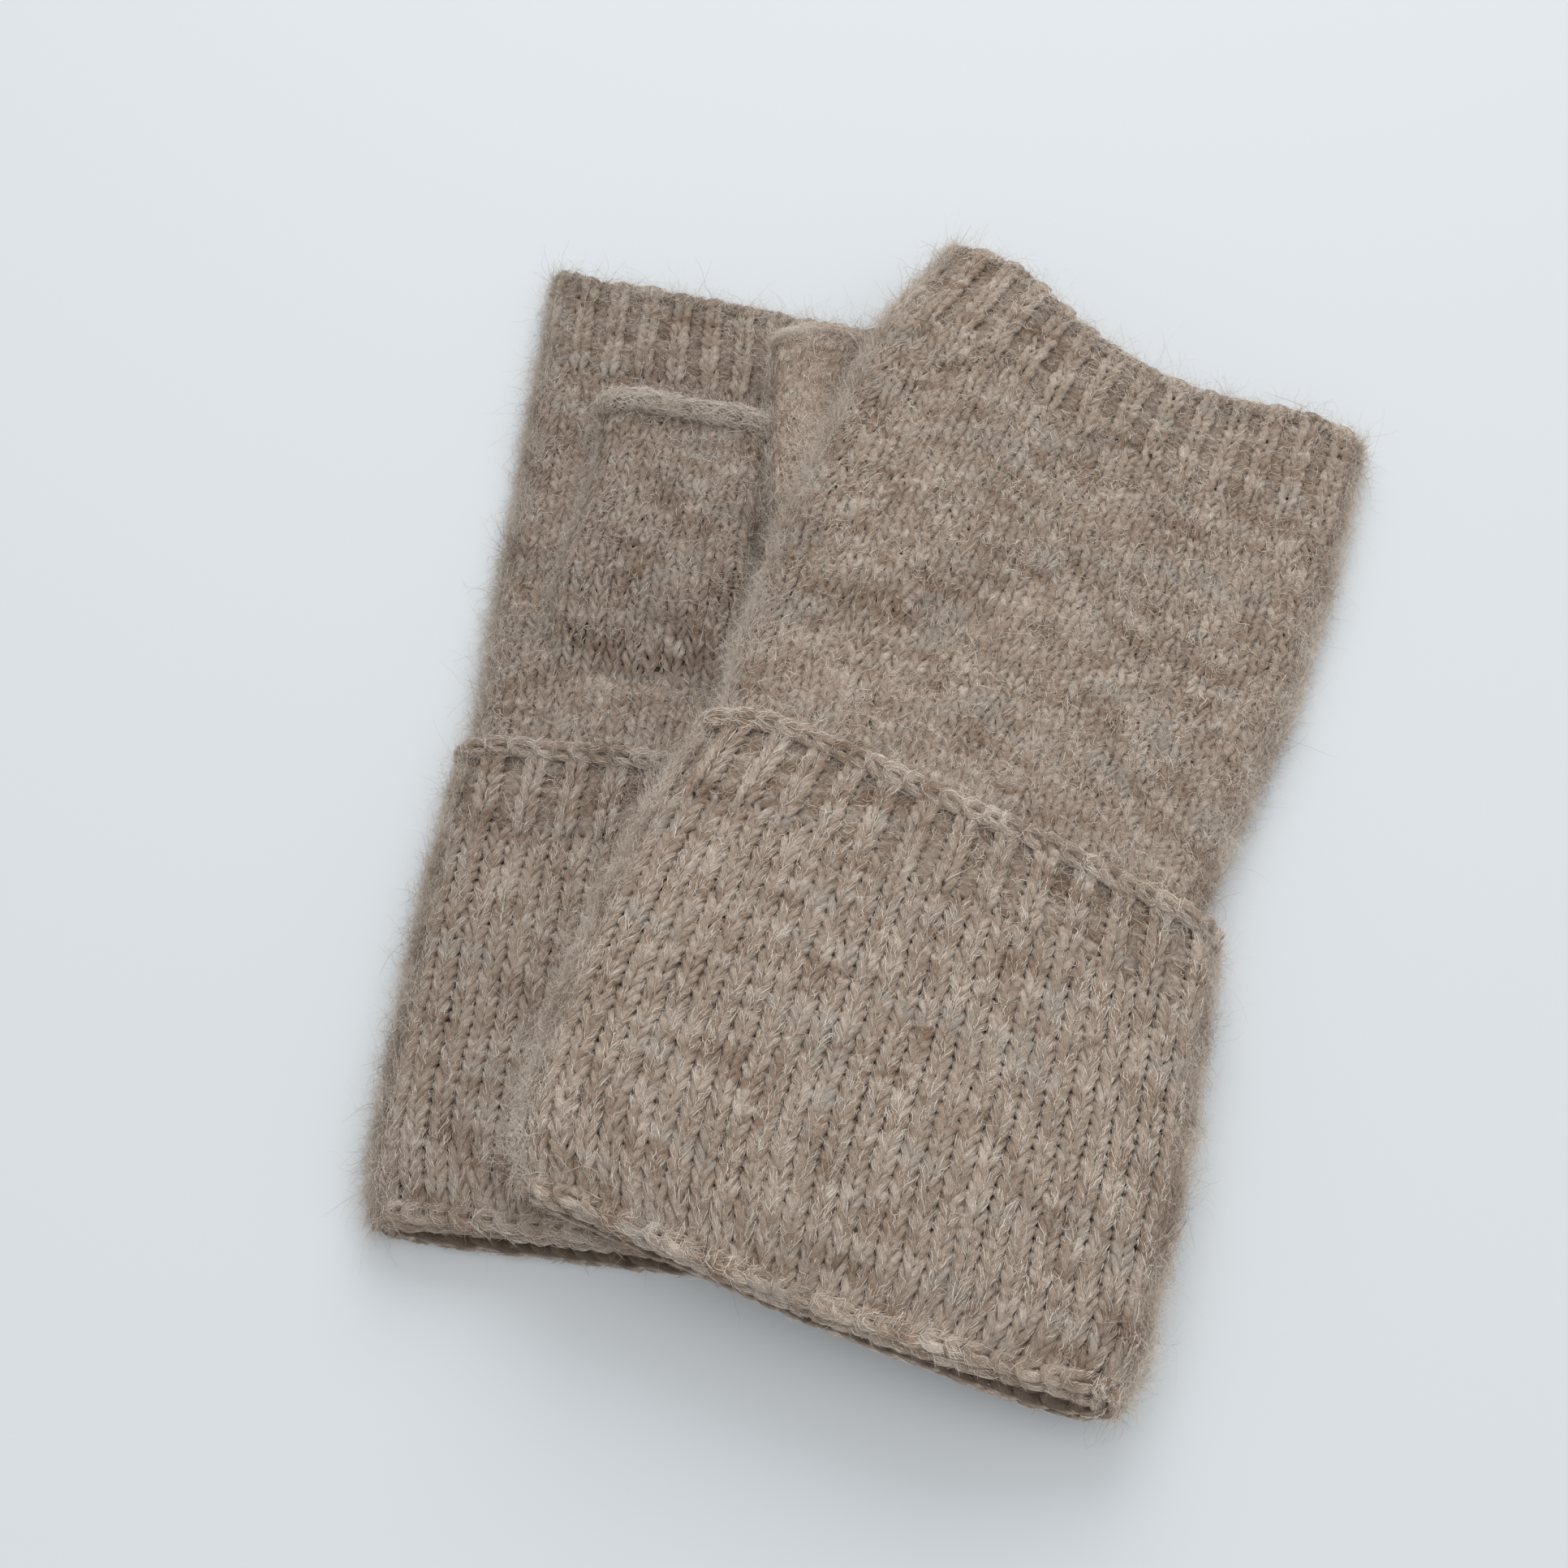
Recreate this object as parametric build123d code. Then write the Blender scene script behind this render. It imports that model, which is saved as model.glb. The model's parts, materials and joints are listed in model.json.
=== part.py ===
from build123d import *
import os

# A pair of knitted fingerless gloves laid on a table. The left-hand glove lies palm up
# along +Y. The right-hand glove lies back up across it and falls to the table on the +X
# side. Lengths are millimetres. Every glove has its own plan frame: u across the hand,
# v from the hem to the fingers.

# Fabric
FABRIC = 2.1
HOLLOW = 4.2
LAYER_GAP = 0.3
BODY_GAP = 0.3
LAYER_STEP = FABRIC + LAYER_GAP
TUBE_HEIGHT = 2 * FABRIC + HOLLOW
CUFF_HEIGHT = TUBE_HEIGHT + 2 * LAYER_STEP

# Lengths along a glove
HEM_DEPTH = 2.6
EDGE_DEPTH = 3.0
EDGE_FLARE = 0.4
CUFF_RIB_DEPTH = 15.0
FINGER_RIB_DEPTH = 21.0
WRIST_LINE = 90.0

# Thumb
THUMB_ROOT_WIDTH = 32.0
THUMB_TIP_WIDTH = 29.0
THUMB_LENGTH = 37.0
THUMB_WALL = 1.65
THUMB_HEIGHT = 2 * THUMB_WALL + HOLLOW
GUSSET_LENGTH = 21.0
GUSSET_CREST = 12.0
GUSSET_DOOR_LENGTH = 15.0
RIGHT_DOOR_INSET = 8.35

# Placing: hem centre of each glove, lean of its axis, and the roots of its thumb
LEFT_HEM = (51.0, 0.0)
RIGHT_HEM = (77.5, -5.0)
RIGHT_LEAN = -12.5
LEFT_THUMB_ROOT = (33.4, 128.0)
LEFT_THUMB_LEAN = 0.0
RIGHT_THUMB_ROOT = (67.9, 148.0)
RIGHT_THUMB_LEAN = 6.7
THUMB_FLOOR = TUBE_HEIGHT + EDGE_FLARE + BODY_GAP

# Heights of the right glove over the left one, and where it falls to the table
RIGHT_TUBE_LIFT = THUMB_FLOOR + THUMB_HEIGHT + BODY_GAP
RIGHT_LIFT = RIGHT_TUBE_LIFT - LAYER_STEP
RIGHT_FALL = (98.0, 138.0)
LEFT_FALL = (91.0, 106.0)

REACH = 400.0
TALL = 60.0

# Side points of each glove's plan (v, u of the left side, u of the right side)
LEFT_SIDES = [
    (-6.0, -51.0, 51.0),
    (40.0, -51.5, 52.0),
    (88.0, -50.0, 48.5),
    (125.0, -49.5, 50.0),
    (160.0, -50.0, 45.5),
    (210.0, -51.0, 40.0),
]
RIGHT_SIDES = [
    (-6.0, -51.5, 52.0),
    (45.0, -54.5, 51.5),
    (88.0, -50.5, 46.5),
    (125.0, -52.0, 50.0),
    (160.0, -49.0, 50.6),
    (214.0, -39.0, 49.0),
]

# Lines across each glove's plan (u, v)
HEM = [(-90.0, 0.0), (90.0, 0.0)]
WRIST = [(-90.0, WRIST_LINE), (90.0, WRIST_LINE)]
LEFT_CUFF_TOP = [(-90.0, 88.5), (90.0, 86.5)]
RIGHT_CUFF_TOP = [(-90.0, 89.5), (-32.0, 87.6), (6.0, 84.4), (90.0, 80.0)]
LEFT_FINGER_TOP = [(-90.0, 207.0), (-51.0, 204.0), (-26.0, 200.0), (18.0, 195.0), (90.0, 192.5)]
RIGHT_FINGER_TOP = [(-90.0, 219.0), (-40.0, 210.0), (-20.0, 206.5), (2.0, 201.4), (90.0, 199.0)]


def placed(hem, lean):
    """Location of a glove's or a thumb's plan frame on the table."""
    return Location((hem[0], hem[1], 0.0), (0.0, 0.0, lean))


def plan(sides, inset=0.0):
    """Whole plan of a glove, with its side seams drawn in by the inset."""
    left = [(u + inset, v) for v, u, _ in sides]
    right = [(u - inset, v) for v, _, u in reversed(sides)]
    outline = Curve() + [
        Spline(*left),
        Line(left[-1], right[0]),
        Spline(*right),
        Line(right[-1], left[0]),
    ]
    return make_face(outline)


def strip(lower, lower_shift, upper, upper_shift):
    """Area between two lines across a glove, each shifted along the glove."""
    start = [(u, v + lower_shift) for u, v in lower]
    finish = [(u, v + upper_shift) for u, v in reversed(upper)]
    return make_face(Polyline(*start, *finish, close=True))


def level_line(high, low, fall, rise):
    """Edges that run level at one height, fall over two tangent arcs and run level again."""
    top = (fall[0], high + rise)
    foot = (fall[1], low + rise)
    middle = ((top[0] + foot[0]) / 2, (top[1] + foot[1]) / 2)
    return [
        Line((-REACH, high + rise), top),
        TangentArc(top, middle, tangent=(1, 0)),
        TangentArc(foot, middle, tangent=(-1, 0)),
        Line(foot, (REACH, low + rise)),
    ]


def sheet(plane, high, low, fall, thickness):
    """Endless layer of even height that falls from one level to another across a plane."""
    if high == low:
        return Pos(0, 0, low + thickness / 2) * Box(2 * REACH, 2 * REACH, thickness)
    ends = [
        Line((-REACH, high), (-REACH, high + thickness)),
        Line((REACH, low), (REACH, low + thickness)),
    ]
    edges = level_line(high, low, fall, 0.0) + level_line(high, low, fall, thickness) + ends
    return extrude(plane * make_face(Curve() + edges), amount=REACH, both=True)


def prism(place, face):
    """Upright solid over a plan face."""
    return extrude(place * face, amount=TALL)


def flat_tube(place, sides, band, levels, height, wall, flare=0.0):
    """Flattened knitted tube: a closed skin round a hollow that is open at both ends."""
    plane, high, low, fall = levels
    outer = prism(place, plan(sides, -flare) & band) & sheet(plane, high, low, fall, height + flare)
    inner_height = height - 2 * wall
    inner = prism(place, plan(sides, wall))
    inner &= sheet(plane, high + wall, low + wall, fall, inner_height)
    return outer - inner


def glove(side, place, sides, cuff_top, finger_top, cuff_levels, wrist_levels, hand_levels):
    """Nodes of one glove apart from its thumb, by name."""
    wrist_sides = [(v, left + LAYER_STEP, right - LAYER_STEP) for v, left, right in sides]
    rib_start = -EDGE_DEPTH - CUFF_RIB_DEPTH
    finger_start = -EDGE_DEPTH - FINGER_RIB_DEPTH
    rows = {
        "cuff": (strip(HEM, 0, cuff_top, rib_start), 0.0),
        "cuff_rib": (strip(cuff_top, rib_start, cuff_top, -EDGE_DEPTH), 0.0),
        "cuff_edge": (strip(cuff_top, -EDGE_DEPTH, cuff_top, 0), EDGE_FLARE),
    }
    nodes = {}
    for name, (band, flare) in rows.items():
        nodes[name] = flat_tube(place, sides, band, cuff_levels, CUFF_HEIGHT, FABRIC, flare)
    hem_band = strip(HEM, -HEM_DEPTH, HEM, 0)
    nodes["hem_ridge"] = flat_tube(
        place, sides, hem_band, cuff_levels, CUFF_HEIGHT, LAYER_STEP + FABRIC
    )
    wrist_band = strip(HEM, 0, WRIST, 0)
    nodes["wrist_tube"] = flat_tube(place, wrist_sides, wrist_band, wrist_levels, TUBE_HEIGHT, FABRIC)
    hand_rows = {
        "hand_tube": (strip(WRIST, BODY_GAP, finger_top, finger_start), 0.0),
        "finger_rib": (strip(finger_top, finger_start, finger_top, -EDGE_DEPTH), 0.0),
        "finger_edge": (strip(finger_top, -EDGE_DEPTH, finger_top, 0), EDGE_FLARE),
    }
    for name, (band, flare) in hand_rows.items():
        nodes[name] = flat_tube(place, sides, band, hand_levels, TUBE_HEIGHT, FABRIC, flare)
    return {f"{side}_{name}": solid for name, solid in nodes.items()}


def trapezoid(near_width, far_width, near, far):
    """Plan of a tapered strip centred on the v axis."""
    corners = [
        (-near_width / 2, near),
        (near_width / 2, near),
        (far_width / 2, far),
        (-far_width / 2, far),
    ]
    return make_face(Polyline(*corners, close=True))


def thumb_skin(place, near, far, flare_side, flare_top):
    """Stretch of the thumb's tube between two distances from its root."""
    taper = (THUMB_TIP_WIDTH - THUMB_ROOT_WIDTH) / THUMB_LENGTH
    near_width = THUMB_ROOT_WIDTH + taper * near
    far_width = THUMB_ROOT_WIDTH + taper * far
    spread = 2 * flare_side
    shell = prism(place, trapezoid(near_width + spread, far_width + spread, near, far))
    shell &= sheet(Plane.XZ, THUMB_FLOOR, THUMB_FLOOR, None, THUMB_HEIGHT + flare_top)
    draw_in = 2 * THUMB_WALL
    hollow = prism(place, trapezoid(near_width - draw_in, far_width - draw_in, near, far))
    hollow &= sheet(Plane.XZ, THUMB_FLOOR + THUMB_WALL, THUMB_FLOOR + THUMB_WALL, None, HOLLOW)
    return shell - hollow


def thumb(side, place, flare_top):
    """Thumb tube and the rolled edge round its tip."""
    tube_end = THUMB_LENGTH - EDGE_DEPTH
    return {
        f"{side}_thumb_tube": thumb_skin(place, 0.0, tube_end, 0.0, 0.0),
        f"{side}_thumb_edge": thumb_skin(place, tube_end, THUMB_LENGTH, EDGE_FLARE, flare_top),
    }


def door(place, bottom, top, inset=0.0):
    """Way from the hand's hollow up or down into the thumb, drawn in on the outer side."""
    width = THUMB_ROOT_WIDTH - 2 * THUMB_WALL - inset
    face = Pos(inset / 2, 0, 0) * trapezoid(width, width, -GUSSET_DOOR_LENGTH, 0.0)
    return prism(place, face) & sheet(Plane.XZ, bottom, bottom, None, top - bottom)


def left_gusset(place):
    """Wedge of fabric that rises from the palm to the root of the left thumb."""
    top = THUMB_FLOOR + THUMB_HEIGHT
    back = -BODY_GAP - GUSSET_LENGTH
    profile = [
        (back, TUBE_HEIGHT),
        (-BODY_GAP - GUSSET_CREST, top - THUMB_WALL),
        (-BODY_GAP, top),
        (-BODY_GAP, TUBE_HEIGHT),
    ]
    half_width = THUMB_ROOT_WIDTH / 2
    wedge = extrude(Plane.YZ * make_face(Polyline(*profile, close=True)), amount=half_width, both=True)
    way = door(place, TUBE_HEIGHT - FABRIC, THUMB_FLOOR + THUMB_WALL + HOLLOW)
    ramp = [
        (back + 2 * THUMB_WALL, TUBE_HEIGHT - FABRIC),
        (-BODY_GAP - GUSSET_CREST, top - 2 * THUMB_WALL),
        (0.0, top - THUMB_WALL),
        (0.0, TUBE_HEIGHT - FABRIC),
    ]
    inside = extrude(Plane.YZ * make_face(Polyline(*ramp, close=True)), amount=half_width, both=True)
    return place * wedge - (way & place * inside)


def right_gusset(place):
    """Fabric under the right palm that leads the thumb out from below it."""
    near = -BODY_GAP - GUSSET_LENGTH
    block = prism(place, trapezoid(THUMB_ROOT_WIDTH, THUMB_ROOT_WIDTH, near, -BODY_GAP))
    block &= sheet(Plane.XZ, THUMB_FLOOR, THUMB_FLOOR, None, RIGHT_TUBE_LIFT - THUMB_FLOOR)
    return block - door(place, THUMB_FLOOR + THUMB_WALL, RIGHT_TUBE_LIFT, RIGHT_DOOR_INSET)


def build():
    """All nodes of the pair, in the frame of the left glove's hem corner."""
    left_place = placed(LEFT_HEM, 0.0)
    right_place = placed(RIGHT_HEM, RIGHT_LEAN)
    left_thumb_place = placed(LEFT_THUMB_ROOT, LEFT_THUMB_LEAN)
    right_thumb_place = placed(RIGHT_THUMB_ROOT, RIGHT_THUMB_LEAN)
    nodes = glove(
        "left",
        left_place,
        LEFT_SIDES,
        LEFT_CUFF_TOP,
        LEFT_FINGER_TOP,
        (Plane.YZ, 0.0, 0.0, LEFT_FALL),
        (Plane.YZ, LAYER_STEP, LAYER_STEP, LEFT_FALL),
        (Plane.YZ, LAYER_STEP, 0.0, LEFT_FALL),
    )
    nodes |= glove(
        "right",
        right_place,
        RIGHT_SIDES,
        RIGHT_CUFF_TOP,
        RIGHT_FINGER_TOP,
        (Plane.XZ, RIGHT_LIFT, 0.0, RIGHT_FALL),
        (Plane.XZ, RIGHT_TUBE_LIFT, LAYER_STEP, RIGHT_FALL),
        (Plane.XZ, RIGHT_TUBE_LIFT, 0.0, RIGHT_FALL),
    )
    nodes |= thumb("left", left_thumb_place, EDGE_FLARE)
    nodes |= thumb("right", right_thumb_place, 0.0)
    nodes["left_thumb_gusset"] = left_gusset(left_thumb_place)
    nodes["right_thumb_gusset"] = right_gusset(right_thumb_place)
    nodes["left_hand_tube"] -= door(left_thumb_place, TUBE_HEIGHT - FABRIC, TUBE_HEIGHT)
    nodes["right_hand_tube"] -= door(
        right_thumb_place, RIGHT_TUBE_LIFT, RIGHT_TUBE_LIFT + FABRIC, RIGHT_DOOR_INSET
    )
    return nodes


def main():
    """Centre the pair over the origin, standing on z = 0, and write every node."""
    nodes = build()
    box = Compound([solid for part in nodes.values() for solid in part.solids()]).bounding_box()
    centre = box.center()
    to_origin = Pos(-centre.X, -centre.Y, -box.min.Z)
    print("origin in the layout frame:", round(centre.X, 4), round(centre.Y, 4), round(box.min.Z, 4))
    print("size:", round(box.size.X, 2), round(box.size.Y, 2), round(box.size.Z, 2))
    os.makedirs("parts", exist_ok=True)
    for name, solid in nodes.items():
        export_step(to_origin * solid, f"parts/{name}.step")


main()
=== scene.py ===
"""Looks of a pair of knitted wool fingerless gloves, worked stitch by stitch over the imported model.

Sizes are millimetres unless a name ends in _m, and meshes are written in metres. Each glove has
a plan frame: u runs across the hand and v from the hem to the fingers. Around a knitted tube,
the lap s runs from 0 at the left side over the top to 0.5 at the right side and back below.
"""

import json
import logging
import math
from dataclasses import dataclass
from enum import Enum

import bpy
import numpy as np
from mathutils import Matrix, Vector


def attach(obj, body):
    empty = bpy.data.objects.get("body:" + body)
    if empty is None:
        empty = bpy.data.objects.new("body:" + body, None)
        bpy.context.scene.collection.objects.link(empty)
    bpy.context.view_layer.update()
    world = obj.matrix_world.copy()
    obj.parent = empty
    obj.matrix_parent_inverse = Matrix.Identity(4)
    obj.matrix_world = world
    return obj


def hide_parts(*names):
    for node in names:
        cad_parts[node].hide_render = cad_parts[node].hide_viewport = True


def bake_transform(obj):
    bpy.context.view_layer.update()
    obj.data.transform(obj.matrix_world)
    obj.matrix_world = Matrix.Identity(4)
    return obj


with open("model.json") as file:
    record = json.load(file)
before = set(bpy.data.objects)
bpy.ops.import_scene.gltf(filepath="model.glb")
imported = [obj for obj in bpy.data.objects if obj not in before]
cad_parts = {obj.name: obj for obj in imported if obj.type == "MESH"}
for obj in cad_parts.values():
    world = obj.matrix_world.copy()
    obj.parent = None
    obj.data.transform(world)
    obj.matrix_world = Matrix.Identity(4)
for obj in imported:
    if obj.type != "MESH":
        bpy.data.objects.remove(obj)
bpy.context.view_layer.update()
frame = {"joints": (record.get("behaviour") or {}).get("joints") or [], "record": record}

LOG = logging.getLogger("gloves")
Array = np.ndarray
METRES = 0.001
TURN = 2.0 * math.pi
TABLE_GAP = 0.03
HAIR_TOP = 36.0


def smoothstep(low: float, high: float, value: Array) -> Array:
    """Smooth rise from 0 to 1.

    Args:
        low: Value where the rise starts.
        high: Value where the rise ends; it may be the lower of the two.
        value: Values to look up.

    Returns:
        The height of the rise at each value.
    """
    t = np.clip((value - low) / (high - low), 0.0, 1.0)
    return t * t * (3.0 - 2.0 * t)


def unit(vectors: Array) -> Array:
    """Vectors scaled to length 1.

    Args:
        vectors: Vectors along the last axis.

    Returns:
        The unit vectors.
    """
    return vectors / np.maximum(np.linalg.norm(vectors, axis=-1, keepdims=True), 1e-9)


class Line:
    """Smooth line through a few stations."""

    def __init__(self, *stations: tuple[float, float]) -> None:
        """Keeps the stations and their slopes.

        Args:
            *stations: Position and value pairs, in order of position.
        """
        self.at = np.array([p for p, _ in stations])
        self.value = np.array([q for _, q in stations])
        self.slope = np.gradient(self.value, self.at)

    def __call__(self, position: Array) -> Array:
        """Value of the line.

        Args:
            position: Positions to look up; the ends hold their values beyond the line.

        Returns:
            The value at each position.
        """
        position = np.clip(position, self.at[0], self.at[-1])
        i = np.clip(np.searchsorted(self.at, position) - 1, 0, len(self.at) - 2)
        gap = self.at[i + 1] - self.at[i]
        t = (position - self.at[i]) / gap
        rest = 1.0 - t
        return (
            self.value[i] * (1.0 + 2.0 * t) * rest * rest
            + self.value[i + 1] * (3.0 - 2.0 * t) * t * t
            + gap * t * rest * (self.slope[i] * rest - self.slope[i + 1] * t)
        )


class Side(Enum):
    """Which hand a glove is for."""

    LEFT = "left"
    RIGHT = "right"


class Stitch(Enum):
    """Kind of fabric that a course is knitted in."""

    PLAIN = "plain"
    RIB = "rib"


class Slot(Enum):
    """Material slots of the record."""

    HAND = "hand_knit"
    CUFF = "cuff_knit"
    EDGE = "edge_yarn"


@dataclass(frozen=True)
class Layout:
    """Where the gloves lie, read from the frame's mount and joints.

    left_hem is the middle of the left glove's hem in the row frame. Every other place is
    measured from it.
    """

    left_hem: Array
    right_hem: Array
    right_lean: float
    left_thumb: Array
    right_thumb: Array

    WRIST_LINE = 90.0
    MOUNT_FROM_HEM = 40.0
    RIGHT_THUMB_HALF_WIDTH = 16.0
    RIGHT_THUMB_LEAN = math.radians(6.7)

    @classmethod
    def read(cls) -> "Layout":
        """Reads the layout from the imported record.

        Returns:
            The layout, in millimetres.
        """
        joints = {j["name"]: j for j in frame["joints"]}
        mount = np.array(frame["record"]["mounts"][0]["pos_m"][:2]) / METRES
        left_hem = mount - np.array([0.0, cls.MOUNT_FROM_HEM])
        wrist = joints["right_wrist_fold"]
        lean = math.atan2(wrist["axis"][1], wrist["axis"][0])
        forward = np.array([-math.sin(lean), math.cos(lean)])
        right_hem = np.array(wrist["pos_m"][:2]) / METRES - cls.WRIST_LINE * forward
        left_thumb = np.array(joints["left_thumb_fold"]["pos_m"][:2]) / METRES
        corner = np.array(joints["right_thumb_swing"]["pos_m"][:2]) / METRES
        turn = cls.RIGHT_THUMB_LEAN
        across = cls.RIGHT_THUMB_HALF_WIDTH * np.array([math.cos(turn), math.sin(turn)])
        places = (right_hem - left_hem, left_thumb - left_hem, corner - across - left_hem)
        return cls(left_hem, places[0], lean, places[1], places[2])


@dataclass(frozen=True)
class Support:
    """Height of what a glove lies on, over places measured from the left glove's hem."""

    over_left: bool

    FALL = (41.0, 99.0)
    CUFF_TOP = 14.4
    HAND_TOP = 12.9
    HAND_STARTS = (86.0, 116.0)
    THUMB_RISE = 3.9
    THUMB_ACROSS = (34.0, 58.0)
    THUMB_START = (112.0, 130.0)
    THUMB_END = (186.0, 212.0)

    def height(self, x: Array, y: Array) -> Array:
        """Height at each place.

        Args:
            x: Places across.
            y: Places along.

        Returns:
            The height of the support.
        """
        if not self.over_left:
            return np.zeros_like(x)
        drop = self.CUFF_TOP - self.HAND_TOP
        level = self.CUFF_TOP - drop * smoothstep(*self.HAND_STARTS, y)
        thumb = smoothstep(*self.THUMB_START, y) * (1.0 - smoothstep(*self.THUMB_END, y))
        thumb = thumb * (1.0 - smoothstep(*self.THUMB_ACROSS, x))
        return (level + self.THUMB_RISE * thumb) * (1.0 - smoothstep(*self.FALL, x))


@dataclass(frozen=True)
class Plan:
    """Outline of one glove or thumb in its plan frame, and where that frame lies.

    slip is how far the lower panel's hem hangs out past the upper one, across the plan.
    """

    origin: Array
    lean: float
    left: Line
    right: Line
    support: Support
    slip: Line = Line((-60.0, 0.0), (60.0, 0.0))

    def place(self, u: Array, v: Array) -> tuple[Array, Array]:
        """Turns plan places into places measured from the left glove's hem.

        Args:
            u: Places across the plan.
            v: Places along the plan.

        Returns:
            The x and y of each place.
        """
        c, s = math.cos(self.lean), math.sin(self.lean)
        return self.origin[0] + u * c - v * s, self.origin[1] + u * s + v * c


@dataclass(frozen=True)
class Waves:
    """Slow rise and fall of soft fabric that isn't pulled tight."""

    height: float = 0.35
    length: float = 31.0
    seed: int = 3

    def rise(self, x: Array, y: Array) -> Array:
        """Height of the waves.

        Args:
            x: Places across.
            y: Places along.

        Returns:
            The rise at each place.
        """
        rng = np.random.default_rng(self.seed)
        total = np.zeros_like(x)
        for _ in range(5):
            heading, phase = rng.uniform(0.0, TURN, 2)
            pitch = self.length * rng.uniform(0.6, 1.5)
            along = x * math.cos(heading) + y * math.sin(heading)
            total = total + np.sin(TURN * along / pitch + phase)
        return total * self.height / 2.2


@dataclass(frozen=True)
class Tube:
    """Mean surface of a flattened knitted tube that lies on a support.

    inset draws the outline in, cap is how far in from each side the fabric rounds over,
    half_height is half the flattened height, and centre gives the height of the tube's middle
    over the support along v. Between the lower and the upper panel the section rises by about
    PANEL_RISE.
    """

    plan: Plan
    inset: float
    cap: float
    half_height: Line
    centre: Line
    waves: Waves
    layout: Layout

    SLIP_ENDS = 24.0
    PANEL_RISE = 4.0
    STEP = 0.3
    USUAL_GIRTH = 190.0

    def across(self, s: Array, v: Array) -> tuple[Array, Array, Array]:
        """Place on the flattened section.

        Args:
            s: Laps round the tube.
            v: Places along the plan.

        Returns:
            The place across the plan, the height from the tube's middle and the lap's length.
        """
        left = self.plan.left(v) + self.inset
        right = self.plan.right(v) - self.inset
        half_height = self.half_height(v)
        level = np.maximum((right - left) - 2.0 * self.cap, 0.0)
        quarter = math.pi / 2.0 * np.sqrt((self.cap**2 + half_height**2) / 2.0)
        lap = np.mod(s, 1.0)
        top = lap < 0.5
        run = np.where(top, lap, 1.0 - lap) * 2.0 * (level + 2.0 * quarter)
        first = np.clip(run / quarter, 0.0, 1.0) * math.pi / 2.0
        second = np.clip((run - quarter - level) / quarter, 0.0, 1.0) * math.pi / 2.0
        u = left + self.cap * (1.0 - np.cos(first)) + np.clip(run - quarter, 0.0, level)
        u = u + self.cap * np.sin(second)
        rise = half_height * (np.sin(first) + np.cos(second) - 1.0)
        return u, np.where(top, rise, -rise), 2.0 * (level + 2.0 * quarter)

    def point(self, s: Array, v: Array) -> Array:
        """Points on the mean surface, in the row frame."""
        u, rise, _ = self.across(s, v)
        upper = np.clip(0.5 + rise / self.PANEL_RISE, 0.0, 1.0)
        under = (1.0 - upper) * (1.0 - smoothstep(0.0, self.SLIP_ENDS, v))
        x, y = self.plan.place(u, v - self.plan.slip(u) * under)
        z = self.plan.support.height(x, y) + self.centre(v) + rise + self.waves.rise(x, y) * upper
        return np.stack([x + self.layout.left_hem[0], y + self.layout.left_hem[1], z], -1)

    def framed(self, s: Array, v: Array) -> tuple[Array, Array]:
        """Points on the mean surface and the outward normals there.

        Args:
            s: Laps round the tube.
            v: Places along the plan.

        Returns:
            The points and the normals.
        """
        step = self.STEP
        lap = step / self.USUAL_GIRTH
        around = self.point(s + lap, v) - self.point(s - lap, v)
        along = self.point(s, v + step) - self.point(s, v - step)
        return self.point(s, v), unit(np.cross(around, along))


@dataclass(frozen=True)
class Path:
    """Closed lines that yarn follows.

    centre and normal are lines by points by 3, lay is the place of each point in the fabric,
    and legs are the points in the middle of the stitches' visible legs.
    """

    centre: Array
    normal: Array
    lay: Array
    legs: Array


@dataclass
class Mesh:
    """Mesh data of one finish: corners, faces and the coordinates that the finish reads."""

    points: Array
    quads: Array
    strand: Array
    lay: Array

    @staticmethod
    def join(parts: "list[Mesh]") -> "Mesh":
        """One mesh from several."""
        starts = np.cumsum([0] + [len(p.points) for p in parts[:-1]])
        return Mesh(
            np.concatenate([p.points for p in parts]),
            np.concatenate([p.quads + start for p, start in zip(parts, starts)]),
            np.concatenate([p.strand for p in parts]),
            np.concatenate([p.lay for p in parts]),
        )


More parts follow.
